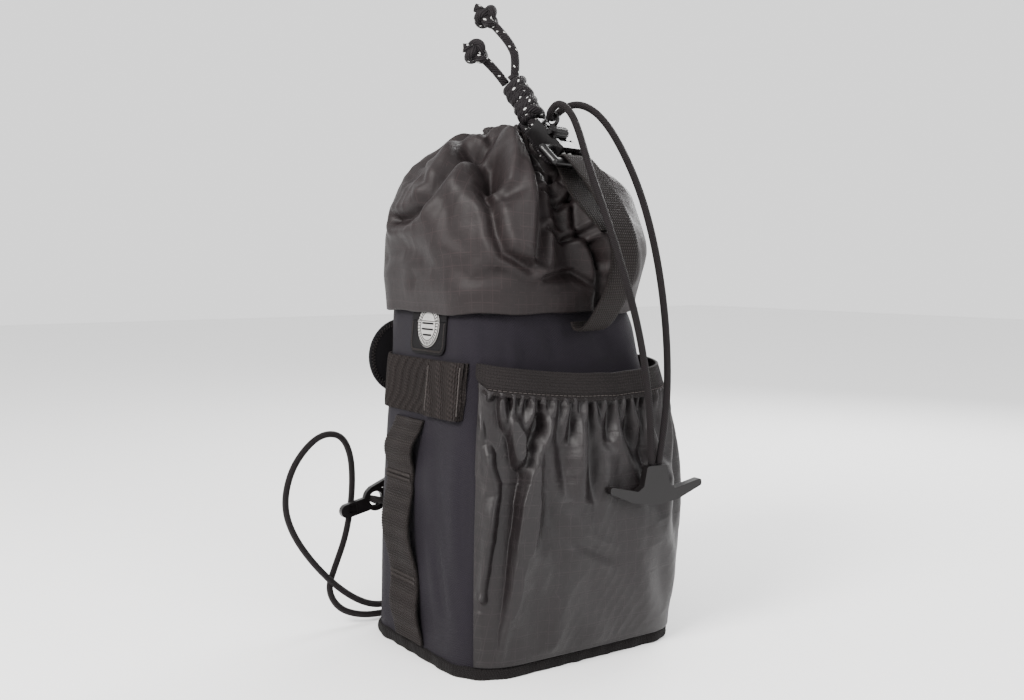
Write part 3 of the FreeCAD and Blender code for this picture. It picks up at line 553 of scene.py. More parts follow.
# ---- Cords --------------------------------------------------------------------------------------
TOP_CORD_LEFT = [
    (-5.0, -29.6, 245.4), (-4.6, -34.2, 248.4), (-3.4, -39.4, 246.2), (-2.2, -45.0, 238.6),
    (-2.6, -53.8, 220.4), (-3.4, -65.8, 200.3), (0.8, -72.0, 178.3), (9.4, -72.4, 154.4),
    (18.6, -68.8, 129.2), (24.4, -65.4, 106.3), (26.9, -63.0, 88.2),
]
TOP_CORD_RIGHT = [
    (1.2, -28.4, 246.0), (3.6, -36.0, 248.6), (7.0, -44.2, 245.6), (10.4, -51.6, 237.6),
    (14.0, -59.2, 223.8), (17.6, -66.2, 206.0), (21.8, -70.4, 183.5), (26.2, -71.2, 159.6),
    (29.6, -70.2, 135.3), (31.6, -67.6, 110.5), (30.9, -63.5, 88.2),
]
BASE_CORD = [
    (-7.0, 56.0, 10.0), (-20.0, 56.6, 10.4), (-33.0, 55.6, 9.0), (-46.0, 53.0, 6.8),
    (-58.0, 52.4, 9.4), (-71.0, 54.2, 18.4), (-84.0, 57.0, 33.0), (-93.4, 59.4, 48.6),
    (-96.6, 60.6, 62.6), (-92.6, 61.6, 77.8), (-84.0, 62.4, 88.8), (-74.4, 63.2, 94.6),
    (-64.6, 63.6, 93.0), (-59.6, 63.8, 83.6), (-58.6, 63.8, 70.0), (-60.2, 63.4, 55.0),
    (-64.4, 61.4, 41.0), (-71.4, 58.4, 28.6), (-76.4, 56.4, 18.6), (-71.6, 54.4, 8.6),
    (-60.6, 52.4, 4.0), (-47.0, 53.4, 2.6), (-33.0, 55.6, 3.2), (-20.0, 56.6, 4.2), (-7.0, 56.0, 4.6),
]
RING_HOOK_CORD = [
    (-12.0, 56.4, 46.4), (-20.0, 56.4, 46.4), (-31.0, 54.9, 51.6), (-42.5, 54.7, 58.2),
    (-50.6, 56.2, 60.6), (-50.6, 62.0, 60.0), (-42.5, 63.4, 56.0), (-31.0, 61.8, 47.4),
    (-20.0, 57.0, 41.0), (-12.0, 57.0, 41.0),
]
SHOCK_CORD = 3.2 * MM


def metres(points):
    return [tuple(c * MM for c in point) for point in points]


def make_cord(name, points, body, nodes):
    line = smooth_line(metres(points))
    data = tube_mesh(name, line, SHOCK_CORD)
    item = add_object(name, data, "cord", body)
    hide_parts(*nodes)
    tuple(line[0])


def make_cords():
    bight = [(-3.6, -26.9, 243.6), (-1.5, -25.6, 242.6), (0.5, -26.2, 243.8)]
    whole = TOP_CORD_LEFT[::-1] + bight + TOP_CORD_RIGHT
    make_cord("top_shock_cord", whole, "toggle", ("top_cord_left", "top_cord_right", "top_cord_bight"))
    make_cord("base_shock_cord", BASE_CORD, "bag", ("base_cord",))
    make_cord("hook_shock_cord", RING_HOOK_CORD, "bag", ("ring_hook_cord",))


make_cords()


# ---- Collar -------------------------------------------------------------------------------------
NECK = Vector((0.0, 9.0, 238.5)) * MM
HEM_RISE = 3.4 * MM
COLLAR_EYE = Vector((0.0, 9.0, 185.0)) * MM
COLLAR_COLUMNS = 640
COLLAR_ROWS = 190
# Folds on the sides and the back: azimuth at the mouth and at the fold's end, reach down from the
# mouth (0 to 1), half width at the top and at its foot in degrees, depth in mm.
COLLAR_FOLDS = [
    (-92, -110, 0.50, 7, 12, 5.0), (38, 34, 0.66, 5, 9, 6.0), (56, 60, 0.50, 6, 10, 5.5),
    (75, 80, 0.72, 5, 11, 6.5), (97, 96, 0.46, 6, 10, 5.0), (118, 124, 0.66, 5, 10, 7.0),
    (139, 140, 0.42, 6, 9, 5.5), (160, 155, 0.72, 5, 11, 7.0), (-178, -176, 0.50, 6, 10, 5.0),
    (-158, -160, 0.66, 5, 10, 6.5), (-136, -132, 0.44, 6, 9, 5.0), (-114, -128, 0.60, 5, 9, 5.5),
]
# Folds on the front, as lines of (azimuth, elevation) in degrees: half width, depth (negative
# stands out) and how far the cloth beside the line laps up over it, in mm.
COLLAR_LINES = [
    ([(-50, 66), (-60, 55), (-69, 48), (-70, 30), (-80, 17), (-94, 13), (-106, 12)], 3.2, 4.5, 1.8),
    ([(-62, 52), (-54, 44), (-47, 34), (-43, 24)], 7.0, 7.5, 0.0),
    ([(-46, 44), (-44, 26)], 3.4, 3.4, 0.0),
    ([(-49, 68), (-38, 55), (-35, 39), (-37, 26), (-43, 22)], 3.2, -4.6, 0.0),
    ([(-46, 21), (-42, 10), (-40, 2), (-37, -5), (-26, -10)], 2.6, 3.2, -1.4),
    ([(-25, 66), (-28, 31), (-30, 10), (-31, 0)], 9.5, -4.0, 0.0),
    ([(-13, 71), (-18, 50), (-19, 34), (-20, 14), (-22, -5)], 3.2, 6.0, 0.0),
    ([(-8, 66), (-5, 40), (-6, 15), (-3, -10)], 8.5, 5.2, 0.0),
    ([(4, 62), (8, 35), (3, 12), (12, -6)], 2.6, 3.2, 1.2),
    ([(-13, 32), (-3, 25), (6, 29)], 2.2, 2.4, 1.2),
    ([(-15, 10), (-5, 5), (8, 9)], 2.0, 2.2, 1.2),
    ([(-10, 50), (-2, 44), (7, 48)], 2.0, 2.2, 1.0),
    ([(-18, -14), (0, -12), (9, -17)], 2.0, 1.6, 0.8),
    ([(10, 2), (13, -14), (15, -26)], 2.2, 2.8, 0.8),
    ([(18, 2), (20, -14), (22, -25)], 2.2, 2.8, 0.8),
    ([(20, 60), (24, 32), (21, 12), (27, -12)], 3.6, 4.6, 1.0),
    ([(-88, -14), (-72, -9), (-58, -15)], 4.5, 1.3, 0.0),
    ([(-116, -6), (-97, 1), (-80, -4)], 5.0, 1.5, 0.0),
    ([(-66, 18), (-60, 2), (-52, -8)], 5.0, 1.6, 0.0),
    ([(-84, 30), (-90, 36), (-102, 32)], 3.5, 1.8, 0.8),
    ([(-64, -6), (-50, -16), (-40, -14)], 3.5, 1.2, 0.4),
]


# The plain dome that the front's folds are measured on: millimetres along it for a radian of
# azimuth, the least that this shrinks to near the mouth, its foot below the level of the eye and
# its whole span in degrees, and its length from the hem to the mouth in mm.
DOME_ARC = 57
DOME_LEAST = 0.22
DOME_FOOT, DOME_SPAN = 29, 105
DOME_LENGTH = 115


def wrapped(angle):
    return (angle + math.pi) % TAU - math.pi


def pleats(azimuth):
    """The small pleats that the drawcord gathers round the mouth."""
    return np.abs(np.sin(azimuth * 10 + 1.1 * np.sin(azimuth * 3))) - 0.6


def on_dome(azimuth, elevation):
    """A direction in degrees, as millimetres along and up the plain dome."""
    along = math.radians(azimuth) * DOME_ARC * max(math.cos(math.radians(elevation)), DOME_LEAST)
    return along, (elevation + DOME_FOOT) / DOME_SPAN * DOME_LENGTH


def collar_relief(azimuth, v):
    """How far the gathered cloth stands out of the dome, in mm; v is 0 at the hem, 1 at the mouth."""
    total = np.zeros(np.broadcast(azimuth, v).shape)
    for top, foot, reach, narrow, wide, depth in COLLAR_FOLDS:
        t = np.clip((1 - v) / reach, 0, 1)
        middle = np.radians(top) + wrapped(np.radians(foot - top)) * t ** 1.3
        width = np.radians(narrow + (wide - narrow) * t)
        off = wrapped(azimuth - middle) / width
        fade = (1 - smooth_step(0.55, 1.0, t)) * smooth_step(0.0, 0.12, t + 0.02)
        near_mouth = 0.35 + 0.65 * smooth_step(0.0, 0.3, t)
        shape = np.exp(-np.abs(off) ** 1.7) - 0.30 * np.exp(-(np.abs(off) - 1.7) ** 2)
        total -= depth * fade * near_mouth * shape
    elevation = np.radians(v * DOME_SPAN - DOME_FOOT)
    along = azimuth * DOME_ARC * np.maximum(np.cos(elevation), DOME_LEAST)
    up = v * DOME_LENGTH + 0 * azimuth
    for line, width, depth, lap in COLLAR_LINES:
        distance, side = to_line(along, up, [on_dome(*corner) for corner in line])
        core = np.exp(-(distance / width) ** 2)
        shape = core - 0.28 * np.exp(-(distance / width - 1.9) ** 2)
        lifted = np.clip(side * math.copysign(1, lap), 0, 1) * np.exp(-distance / (4 * width))
        total -= (depth * shape - abs(lap) * lifted * (1 - core)) * (1 - smooth_step(0.9, 1.0, v))
    total += smooth_step(0.72, 0.98, v) * 1.5 * pleats(azimuth)
    soft = ripple(azimuth, v, [(3, 6, 4.0), (6, 11, 6.0)], 1.9, 11)
    total += (0.35 + 0.65 * v) * soft * smooth_step(0.03, 0.25, v)
    fine = ripple(azimuth, v, [(14, 30, 26.0), (24, 44, 40.0)], 1.0, 12)
    total += 0.28 * (0.4 - np.abs(fine) * 2.0) * smooth_step(0.1, 0.5, v)
    return total


def make_collar():
    skin = Skin("collar_skirt", "collar_dome")
    azimuth = np.arange(COLLAR_COLUMNS) * TAU / COLLAR_COLUMNS - math.pi
    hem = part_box("collar_skirt")[0][2] + HEM_RISE
    base = np.zeros((COLLAR_ROWS, COLLAR_COLUMNS, 3))
    v = np.linspace(0, 1, COLLAR_ROWS)
    hem_eye = Vector((COLLAR_EYE.x, COLLAR_EYE.y, hem))
    for column, angle in enumerate(azimuth):
        direction = Vector((math.sin(angle), -math.cos(angle), 0))
        foot = skin.hit(hem_eye, direction)
        low = math.atan2(hem - COLLAR_EYE.z, (foot - hem_eye).length)
        high = math.atan2(NECK.z - 0.5 * MM - COLLAR_EYE.z, 13.4 * MM)
        last = foot
        for row, share in enumerate(v):
            elevation = low + (high - low) * share
            ray = direction * math.cos(elevation) + Vector((0, 0, math.sin(elevation)))
            last = skin.hit(COLLAR_EYE, ray) or last
            base[row, column] = last
    for _ in range(6):
        soften_rows(base)
        base = base * 0.5 + (np.roll(base, 1, axis=1) + np.roll(base, -1, axis=1)) * 0.25
    normal = normals_of(base, closed=True)
    relief = collar_relief(azimuth[None, :], v[:, None])
    outward = base + normal * relief[:, :, None] * MM
    pleat = pleats(azimuth)
    # The tunnel round the drawcord, as radius and height: over the top and down inside the mouth.
    profile = [(13.0, 239.2), (13.3, 240.2), (12.4, 241.5), (10.8, 242.0), (9.0, 241.8), (7.6, 241.0),
               (7.1, 239.6), (7.3, 237.4), (8.0, 235.2), (9.4, 233.6)]
    rolls = []
    for step, (radius, height) in enumerate(profile):
        wave = pleat * (1.3 if 1 <= step <= 5 else 0.7)
        r = (radius + wave) * MM
        z = (height + pleat * 0.9 + 0.5 * np.sin(azimuth * 2 + 1)) * MM
        rolls.append(np.stack([NECK.x + r * np.sin(azimuth), NECK.y - r * np.cos(azimuth), z], axis=1))
    # The cloth turned up inside the hem, from its upper edge down to the hem.
    hem_rows = []
    for inset, rise in ((1.7, 7.0), (1.9, 3.5), (1.7, 0.8), (1.2, -0.1), (0.5, -0.3)):
        row = base[0] - normal[0] * inset * MM
        row[:, 2] = hem + rise * MM
        hem_rows.append(row)
    # The hem dips and lifts a little round the cup.
    lift = ripple(azimuth, 0.0, [(3, 6, 0.0), (7, 12, 0.0)], 1.6, 21) * MM
    for row in hem_rows:
        row[:, 2] += lift
    fall = 1 - smooth_step(0.0, 0.16, v)
    outward[:, :, 2] += lift[None, :] * fall[:, None]
    points = np.concatenate([np.array(hem_rows), outward, np.array(rolls)])
    data = grid_data("collar_fabric", points, uv_from(points, closed=True), closed=True)
    item = add_object("collar_fabric", data, "ripstop", "bag")
    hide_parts("collar_skirt", "collar_dome", "drawcord_channel")


make_collar()


# ---- Cup ----------------------------------------------------------------------------------------
# The most that the cup's fabric stands out of its CAD wall, in mm.
CUP_RELIEF = 1.0
# Soft dents: from and to an azimuth in degrees and a height, then the half width and the depth.
CUP_CREASES = [
    (-49, 158, -45, 128, 4.5, 1.8), (-44, 155, -30, 132, 3.5, 0.8), (-75, 60, -66, 20, 3.0, 1.4),
    (-78, 100, -70, 60, 4.0, 1.0), (-58, 100, -56, 40, 3.0, 1.0), (-20, 152, -12, 134, 4.0, 0.7),
    (15, 153, 30, 136, 5.0, 0.8), (60, 150, 52, 120, 6.0, 1.2), (130, 140, 122, 90, 6.0, 1.4),
    (150, 100, 160, 60, 6.0, 1.0), (-150, 90, -140, 50, 6.0, 1.2), (95, 60, 100, 20, 5.0, 1.0),
]


def ring_grid(skin, heights, azimuths):
    """Points on a node's outside, in rows by height."""
    points = np.zeros((len(heights), len(azimuths), 3))
    for row, z in enumerate(heights):
        last = None
        for column, angle in enumerate(azimuths):
            place = skin.around(angle, z)
            if place is not None:
                last = place
            if last is not None:
                points[row, column] = last
    return points


def azimuth_limits(skin, z, low=-math.pi, high=math.pi, steps=1440):
    """The first and last azimuth at which a node is met at a height."""
    hits = [a for a in np.linspace(low, high, steps) if skin.around(a, z) is not None]
    return (hits[0], hits[-1]) if hits else None


def make_cup():
    columns = 420
    azimuth = np.arange(columns) * TAU / columns - math.pi
    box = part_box("body_shell")
    heights = np.linspace(box[0][2] + 0.2 * MM, box[1][2] - 0.2 * MM, 190)
    points = ring_grid(Skin("body_shell"), heights, azimuth)
    normal = normals_of(points, closed=True)
    z = heights[:, None] / MM
    relief = ripple(azimuth[None, :], z / 60, [(2, 6, 2.0), (5, 12, 4.0)], 0.9, 31)
    relief = relief - 0.3
    relief += creases(np.degrees(azimuth)[None, :], z, CUP_CREASES)
    relief *= smooth_step(2, 14, z)
    points = points + normal * np.clip(relief * 0.9 + 0.3, -0.7, CUP_RELIEF)[:, :, None] * MM
    data = grid_data("cup_fabric", points, uv_from(points, closed=True), closed=True)
    item = add_object("cup_fabric", data, "twill", "bag")
    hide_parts("body_shell")


make_cup()


def make_binding():
    """Tape folded over the seam round the base, a little uneven."""
    columns = 720
    azimuth = np.arange(columns) * TAU / columns - math.pi
    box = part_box("base_binding")
    heights = np.linspace(box[0][2] + 0.05 * MM, box[1][2] - 0.05 * MM, 12)
    points = ring_grid(Skin("base_binding"), heights, azimuth)
    normal = normals_of(points, closed=True)
    t = np.linspace(0, 1, len(heights))[:, None]
    bulge = 0.7 * np.sin(math.pi * t) ** 0.5 - 0.35
    ridges = 0.12 * np.sin(azimuth[None, :] * 230) + ripple(azimuth[None, :], t, [(20, 40, 3.0)], 0.5, 41)
    points = points + normal * (bulge + ridges)[:, :, None] * MM
    # Both edges of the tape turn in towards the cup.
    first = points[0] - normal[0] * 1.2 * MM
    last = points[-1] - normal[-1] * 1.2 * MM
    last[:, 2] += (0.3 * np.sin(azimuth * 31) + 0.2) * MM
    points = np.concatenate([first[None], points, last[None]])
    data = grid_data("binding_tape", points, uv_from(points, closed=True), closed=True)
    item = add_object("binding_tape", data, "tape", "bag")
    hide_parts("base_binding")


make_binding()


# ---- Pocket -------------------------------------------------------------------------------------
# Folds in the pocket, from and to a distance round from the front's middle and a height, then the
# half width and the depth, in mm.
POCKET_CREASES = [
    (-52, 120, -45.3, 103, 3.2, 4.2), (-46, 105, -38.7, 82, 3.4, 5.4), (-27, 114, -33.8, 96, 3.0, 4.2),
    (-33, 98, -38.5, 81, 3.0, 5.0), (-38.8, 86, -44.0, 52, 3.0, 5.0), (-43.5, 56, -47.0, 26, 2.8, 4.6),
    (-46.5, 32, -50.5, 4, 2.6, 4.0), (-46, 98, -41, 68, 5.0, 3.0), (-57, 35, -49.5, 31, 1.8, 2.4),
    (-52.5, 34, -52.5, 3, 2.0, 2.4), (-18, 108, -13.5, 74, 4.5, 2.4), (6, 106, -3, 72, 4.8, 2.4),
    (20, 109, 31.5, 85, 3.8, 2.6), (31, 86, 38, 60, 4.0, 1.6), (-16, 59, 14, 45, 2.6, 0.9),
    (-34, 80, -30, 30, 6.0, -1.6), (-31, 82, -37, 52, 4.0, -2.6), (-37, 54, -41, 22, 4.0, -2.6),
    (-44, 116, -36, 94, 3.0, -1.6), (-8, 40, 20, 12, 7.0, 1.0), (34, 50, 44, 14, 5.0, 1.4),
    (-24, 44, -30, 8, 5.0, 1.2), (50, 104, 47, 50, 4.0, 2.0), (40, 112, 42, 84, 3.0, 2.4),
    (-10, 114, -12, 98, 2.6, 2.4), (14, 116, 12, 98, 2.6, 2.2),
]
POCKET_COLUMNS = 460
POCKET_ROWS = 230
ELASTIC_ROWS = 27
# The search for the pocket's edges goes this far round from the front, in radians, and its mesh
# stays this far inside them.
POCKET_SEARCH = 2.2
POCKET_MARGIN = 0.004
# Where the seam runs up the elastic, 0 at its lower edge and 1 at its upper one.
ELASTIC_SEAM = 0.2


def elastic_edges(skin):
    """Azimuths across the elastic, and the heights of its lower and upper edge at each of them."""
    spans = [azimuth_limits(skin, z * MM, -POCKET_SEARCH, POCKET_SEARCH, 700) for z in range(108, 140, 2)]
    left = min(span[0] for span in spans if span)
    right = max(span[1] for span in spans if span)
    share = np.linspace(0, 1, POCKET_COLUMNS)
    azimuth = left + POCKET_MARGIN + (right - left - 2 * POCKET_MARGIN) * share
    lows, highs = np.zeros(POCKET_COLUMNS), np.zeros(POCKET_COLUMNS)
    probe = np.arange(95, 142, 0.5) * MM
    for index, angle in enumerate(azimuth):
        met = [z for z in probe if skin.around(angle, z) is not None]
        if met:
            lows[index], highs[index] = met[0], met[-1]
        else:
            lows[index], highs[index] = lows[index - 1], highs[index - 1]
    width = 31
    kernel = np.ones(width) / width
    lows = np.convolve(np.pad(lows, width // 2, mode="edge"), kernel, mode="valid")
    highs = np.convolve(np.pad(highs, width // 2, mode="edge"), kernel, mode="valid")
    return azimuth, lows, highs


def make_elastic(skin, azimuth, lows, highs):
    """The elastic band along the pocket's mouth, with a row of stitches."""
    band = np.zeros((ELASTIC_ROWS, POCKET_COLUMNS, 3))
    for row in range(ELASTIC_ROWS):
        for column, angle in enumerate(azimuth):
            low, high = lows[column], highs[column]
            z = low + (high - low) * row / (ELASTIC_ROWS - 1)
            place = skin.around(angle, min(max(z, low + 0.4 * MM), high - 0.4 * MM))
            band[row, column] = place if place is not None else band[row, column - 1]
            band[row, column, 2] = z
    for _ in range(4):
        soften_columns(band)
    normal = normals_of(band)
    t = np.linspace(0, 1, ELASTIC_ROWS)[:, None]
    ribs = 0.16 * np.abs(np.sin(math.pi * t * 9)) - 0.15
    gather = 0.10 * np.sin(np.linspace(0, 1, POCKET_COLUMNS)[None, :] * 700)
    seam = -0.35 * np.exp(-((t - ELASTIC_SEAM) / 0.045) ** 2)
    band = band + normal * (ribs + gather + seam)[:, :, None] * MM
    loop = round_the_back(band, normal)
    data = grid_data("elastic_band", loop, uv_from(loop))
    item = add_object("elastic_band", data, "elastic", "bag")
    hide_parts("pocket_elastic")
    row = int(ELASTIC_SEAM * ELASTIC_ROWS)
    stitch_row("elastic_stitches", band[row, 4:-4], normal[row, 4:-4], 2.3 * MM, 1.7 * MM, 0.2 * MM,
               0.25 * MM)


def pocket_base(skin, lows):
    """Points and azimuths over the plain sheet, from its foot up to the elastic's lower edge."""
    base = np.zeros((POCKET_ROWS, POCKET_COLUMNS, 3))
    angles = np.zeros((POCKET_ROWS, POCKET_COLUMNS))
    share = np.linspace(0, 1, POCKET_COLUMNS)
    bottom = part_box("front_pocket")[0][2] + 0.3 * MM
    for row, rise in enumerate(np.linspace(0, 1, POCKET_ROWS)):
        level = bottom + (100 * MM - bottom) * min(rise * 1.1, 1.0)
        limits = azimuth_limits(skin, level, -POCKET_SEARCH, POCKET_SEARCH, 500)
        first, last = limits[0] + POCKET_MARGIN, limits[1] - POCKET_MARGIN
        for column in range(POCKET_COLUMNS):
            angle = first + (last - first) * share[column]
            angles[row, column] = angle
            top = lows[column] + 1.5 * MM
            z = bottom + (top - bottom) * rise
            place = skin.around(angle, min(z, lows[column] - 0.6 * MM))
            if place is None:
                place = Vector(base[row - 1, column]) if row else Vector(base[row, column - 1])
            base[row, column] = place
            base[row, column, 2] = z
    for _ in range(8):
        soften_columns(base)
        soften_rows(base)
    return base, angles


def gathers(s, down, half):
    """Uneven pleats that fan down from the elastic: some end soon, some reach far."""
    generator = np.random.default_rng(52)
    relief = np.zeros(down.shape)
    place = -half + 3.0
    while place < half - 2:
        gap = generator.uniform(4.0, 7.5)
        reach = generator.choice([9, 14, 22, 38], p=[0.35, 0.3, 0.2, 0.15])
        depth = generator.uniform(1.5, 2.5) * (0.7 + 0.012 * reach)
        lean = generator.uniform(-0.22, 0.22)
        width = gap * (0.30 + 0.011 * np.clip(down, 0, 50))
        off = np.abs((s - place - lean * np.clip(down, 0, 60)) / width)
        fade = np.exp(-(np.clip(down, 0, None) / reach) ** 1.5)
        relief -= depth * fade * (np.exp(-off ** 1.6) - 0.35 * np.exp(-(off - 1.8) ** 2))
        place += gap
    return relief


def room_to_cup(base, angles):
    """How far each point of the pocket stands off the cup's wall, in mm."""
    cup = Skin("body_shell")
    room = np.zeros(angles.shape)
    for row in range(POCKET_ROWS):
        for column in range(POCKET_COLUMNS):
            x, y, z = base[row, column]
            place = cup.around(angles[row, column], z)
            if place is not None:
                room[row, column] = math.hypot(x - place.x, y - place.y) / MM
    return room


def make_pocket():
    elastic = Skin("pocket_elastic")
    azimuth, lows, highs = elastic_edges(elastic)
    make_elastic(elastic, azimuth, lows, highs)
    base, angles = pocket_base(Skin("front_pocket"), lows)
    normal = normals_of(base)
    s = uv_from(base)[POCKET_ROWS // 2, :, 0][None, :]
    half = s[0, -1]
    z = base[:, :, 2] / MM
    down = lows[None, :] / MM - z
    relief = gathers(s, down, half)
    relief += creases(np.degrees(angles) * 1.05, z, POCKET_CREASES)
    around = np.linspace(0, 1, POCKET_COLUMNS)[None, :] * TAU * 0.5
    soft = ripple(around, z / 40, [(2, 5, 2.0), (5, 11, 4.0)], 1.2, 53)
    fine = ripple(around, z / 40, [(16, 34, 16.0)], 1.0, 54)
    relief += soft + 0.1 * (0.3 - np.abs(fine))
    edges = smooth_step(0, 5, s + half) * smooth_step(0, 5, half - s) * smooth_step(5, 12, z)
    hold = smooth_step(-1.5, 2.0, down) * 0.8 + 0.2
    least = -np.clip(room_to_cup(base, angles) - CUP_RELIEF - 0.9, 0, 6.5)
    relief = np.clip(relief * 1.35 * edges * hold, least, 3.4)
    points = base + normal * relief[:, :, None] * MM
    data = grid_data("pocket_fabric", points, uv_from(points))
    item = add_object("pocket_fabric", data, "pocket", "bag")
    thicken(item, 0.5 * MM)
    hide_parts("front_pocket")


make_pocket()


# ---- Webbing ------------------------------------------------------------------------------------
def ribbed_band(name, skin, low, high, azimuth, ribs, depth, material, node, cross=0.0):
    """Webbing round the cup with its ribs running up and down."""
    heights = np.linspace(low, high, 14)
    points = ring_grid(skin, heights, azimuth)
    normal = normals_of(points)
    s = uv_from(points)[0, :, 0][None, :]
    t = np.linspace(0, 1, len(heights))[:, None]
    relief = depth * (np.sin(TAU * s / ribs) / 2 - 0.5) + cross * np.sin(t * 60)
    relief = relief - 0.35 * (np.abs(t * 2 - 1) ** 6)
    points = points + normal * relief[:, :, None] * MM
    loop = round_the_back(points, normal)
    data = grid_data(name, loop, uv_from(loop)[:, :, ::-1])
    item = add_object(name, data, material, "bag")
    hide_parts(node)
    return points, normal


def make_webbing():
    skin = Skin("waist_band")
    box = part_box("waist_band")
    low, high = box[0][2] + 0.1 * MM, box[1][2] - 0.1 * MM
    middle = (low + high) / 2
    margin = 0.003
    first, last = azimuth_limits(skin, middle, 0, TAU, 2880)
    azimuth = np.linspace(first + margin, last - margin, 1500)
    ribbed_band("waist_webbing", skin, low, high, azimuth, RIB, 0.4, "webbing", "waist_band")
    skin = Skin("band_overlap")
    first, last = azimuth_limits(skin, middle)
    azimuth = np.linspace(first + margin, last - margin, 220)
    points, normal = ribbed_band("waist_webbing_overlap", skin, low, high, azimuth, COARSE_RIB, 0.55,
                                 "coarse", "band_overlap", 0.08)
    for name, column in (("overlap_tack_left", 12), ("overlap_tack_right", -12)):
        stitch_row(name, points[1:-1, column], normal[1:-1, column], 0.75 * MM, 0.6 * MM, 0.3 * MM,
                   0.2 * MM)


make_webbing()


# The middle line of a ladder from its foot up, and half the width of its webbing, in mm.
LADDER_HEIGHTS = [5.6, 34.0, 80.0, 107.5]
LADDER_MIDDLES = [4.0, 9.0, 16.0, 10.0]
LADDER_HALF = 12.3
# Heights of the bar tacks, and how far the two bars of each stand from its middle.
TACK_HEIGHTS = (80.0, 34.0)
TACK_BARS = (-1.1, 1.1)


def make_ladder(name, side):
    """A webbing ladder up one side, sewn down at its tacks."""
    skin = Skin(name)
    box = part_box(name)
    rows, columns = 620, 24
    zs = np.linspace(box[0][2] / MM + 0.3, box[1][2] / MM - 0.3, rows)
    sideways = Vector((side, 0, 0))
    points = np.zeros((rows, columns, 3))
    for row, z in enumerate(zs):
        y_mid = np.interp(z, LADDER_HEIGHTS, LADDER_MIDDLES)
        for column in range(columns):
            y = y_mid - LADDER_HALF + 2 * LADDER_HALF * column / (columns - 1)
            place = skin.hit(Vector((0, y * MM, z * MM)), sideways)
            if place is None:
                place = points[row, column - 1] if column else points[row - 1, column]
            points[row, column] = place
            points[row, column, 1] = y * MM
            points[row, column, 2] = z * MM
    for _ in range(12):
        soften_rows(points)
    t = np.linspace(-1, 1, columns)[None, :]
    ribs = 0.34 * (np.sin(TAU * (zs - zs[0]) / RIB) / 2 - 0.5)[:, None] - 0.3 * np.abs(t) ** 8
    ribs = ribs + ripple(t, zs[:, None] / 20, [(2, 4, 2.0)], 0.35, 61)
    points[:, :, 0] += side * ribs * MM
    back = points.copy()
    back[:, :, 0] -= side * WEBBING_THICK * MM
    ring = np.concatenate([points, back[:, ::-1]], axis=1)
    if side > 0:
        ring = ring[:, ::-1]
    uv = uv_from(ring)
    uv = np.concatenate([uv, uv[:, :1]], axis=1)
    data = grid_data(name + "_webbing", ring, uv, closed=True)
    item = add_object(name + "_webbing", data, "webbing", "bag")
    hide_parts(name)
    return points


def make_tacks(ladders):
    """Bar tacks: close zigzag stitching across each ladder."""
    parts = []
    count = 46
    for points, side in ladders:
        for z_mid in TACK_HEIGHTS:
            row = int(np.argmin(np.abs(points[:, 0, 2] / MM - z_mid)))
            y0, y1 = points[row, 1, 1], points[row, -2, 1]
            x = points[row, :, 0]
            out = (x.min() if side < 0 else x.max()) + side * 0.25 * MM
            for bar in TACK_BARS:
                line = []
                for step in range(count + 1):
                    y = y0 + (y1 - y0) * step / count
                    z = z_mid + bar + (0.75 if step % 2 else -0.75)
                    line.append((out, y, z * MM))
                parts.append(tube_mesh("tack", line, 0.42 * MM, sides=5))
    item = add_object("bar_tack_stitches", join_data("bar_tack_stitches", parts), "thread", "bag")
    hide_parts("bar_tacks")


make_tacks([(make_ladder("daisy_chain_left", -1), -1), (make_ladder("daisy_chain_right", 1), 1)])


# ---- Pull handle --------------------------------------------------------------------------------
# The cord lock, from the middle of its bar to its mouth, and the directions of its own frame.
LOCK_RING = np.array([1.9, -37.6, 222.0])
LOCK_MOUTH = np.array([-3.1, -19.7, 239.2])
LOCK_LENGTH = float(np.linalg.norm(LOCK_MOUTH - LOCK_RING))
LOCK_UP = (LOCK_MOUTH - LOCK_RING) / LOCK_LENGTH
LOCK_SIDE = unit(np.cross(LOCK_UP, [0, 0, 1.0]))
LOCK_OUT = np.cross(LOCK_SIDE, LOCK_UP)
HANDLE_FOOT = np.array([4.4, -42.4, 150.0])
HANDLE_HALF_WIDTH = 9.9
HANDLE_HALF_THICK = 0.75


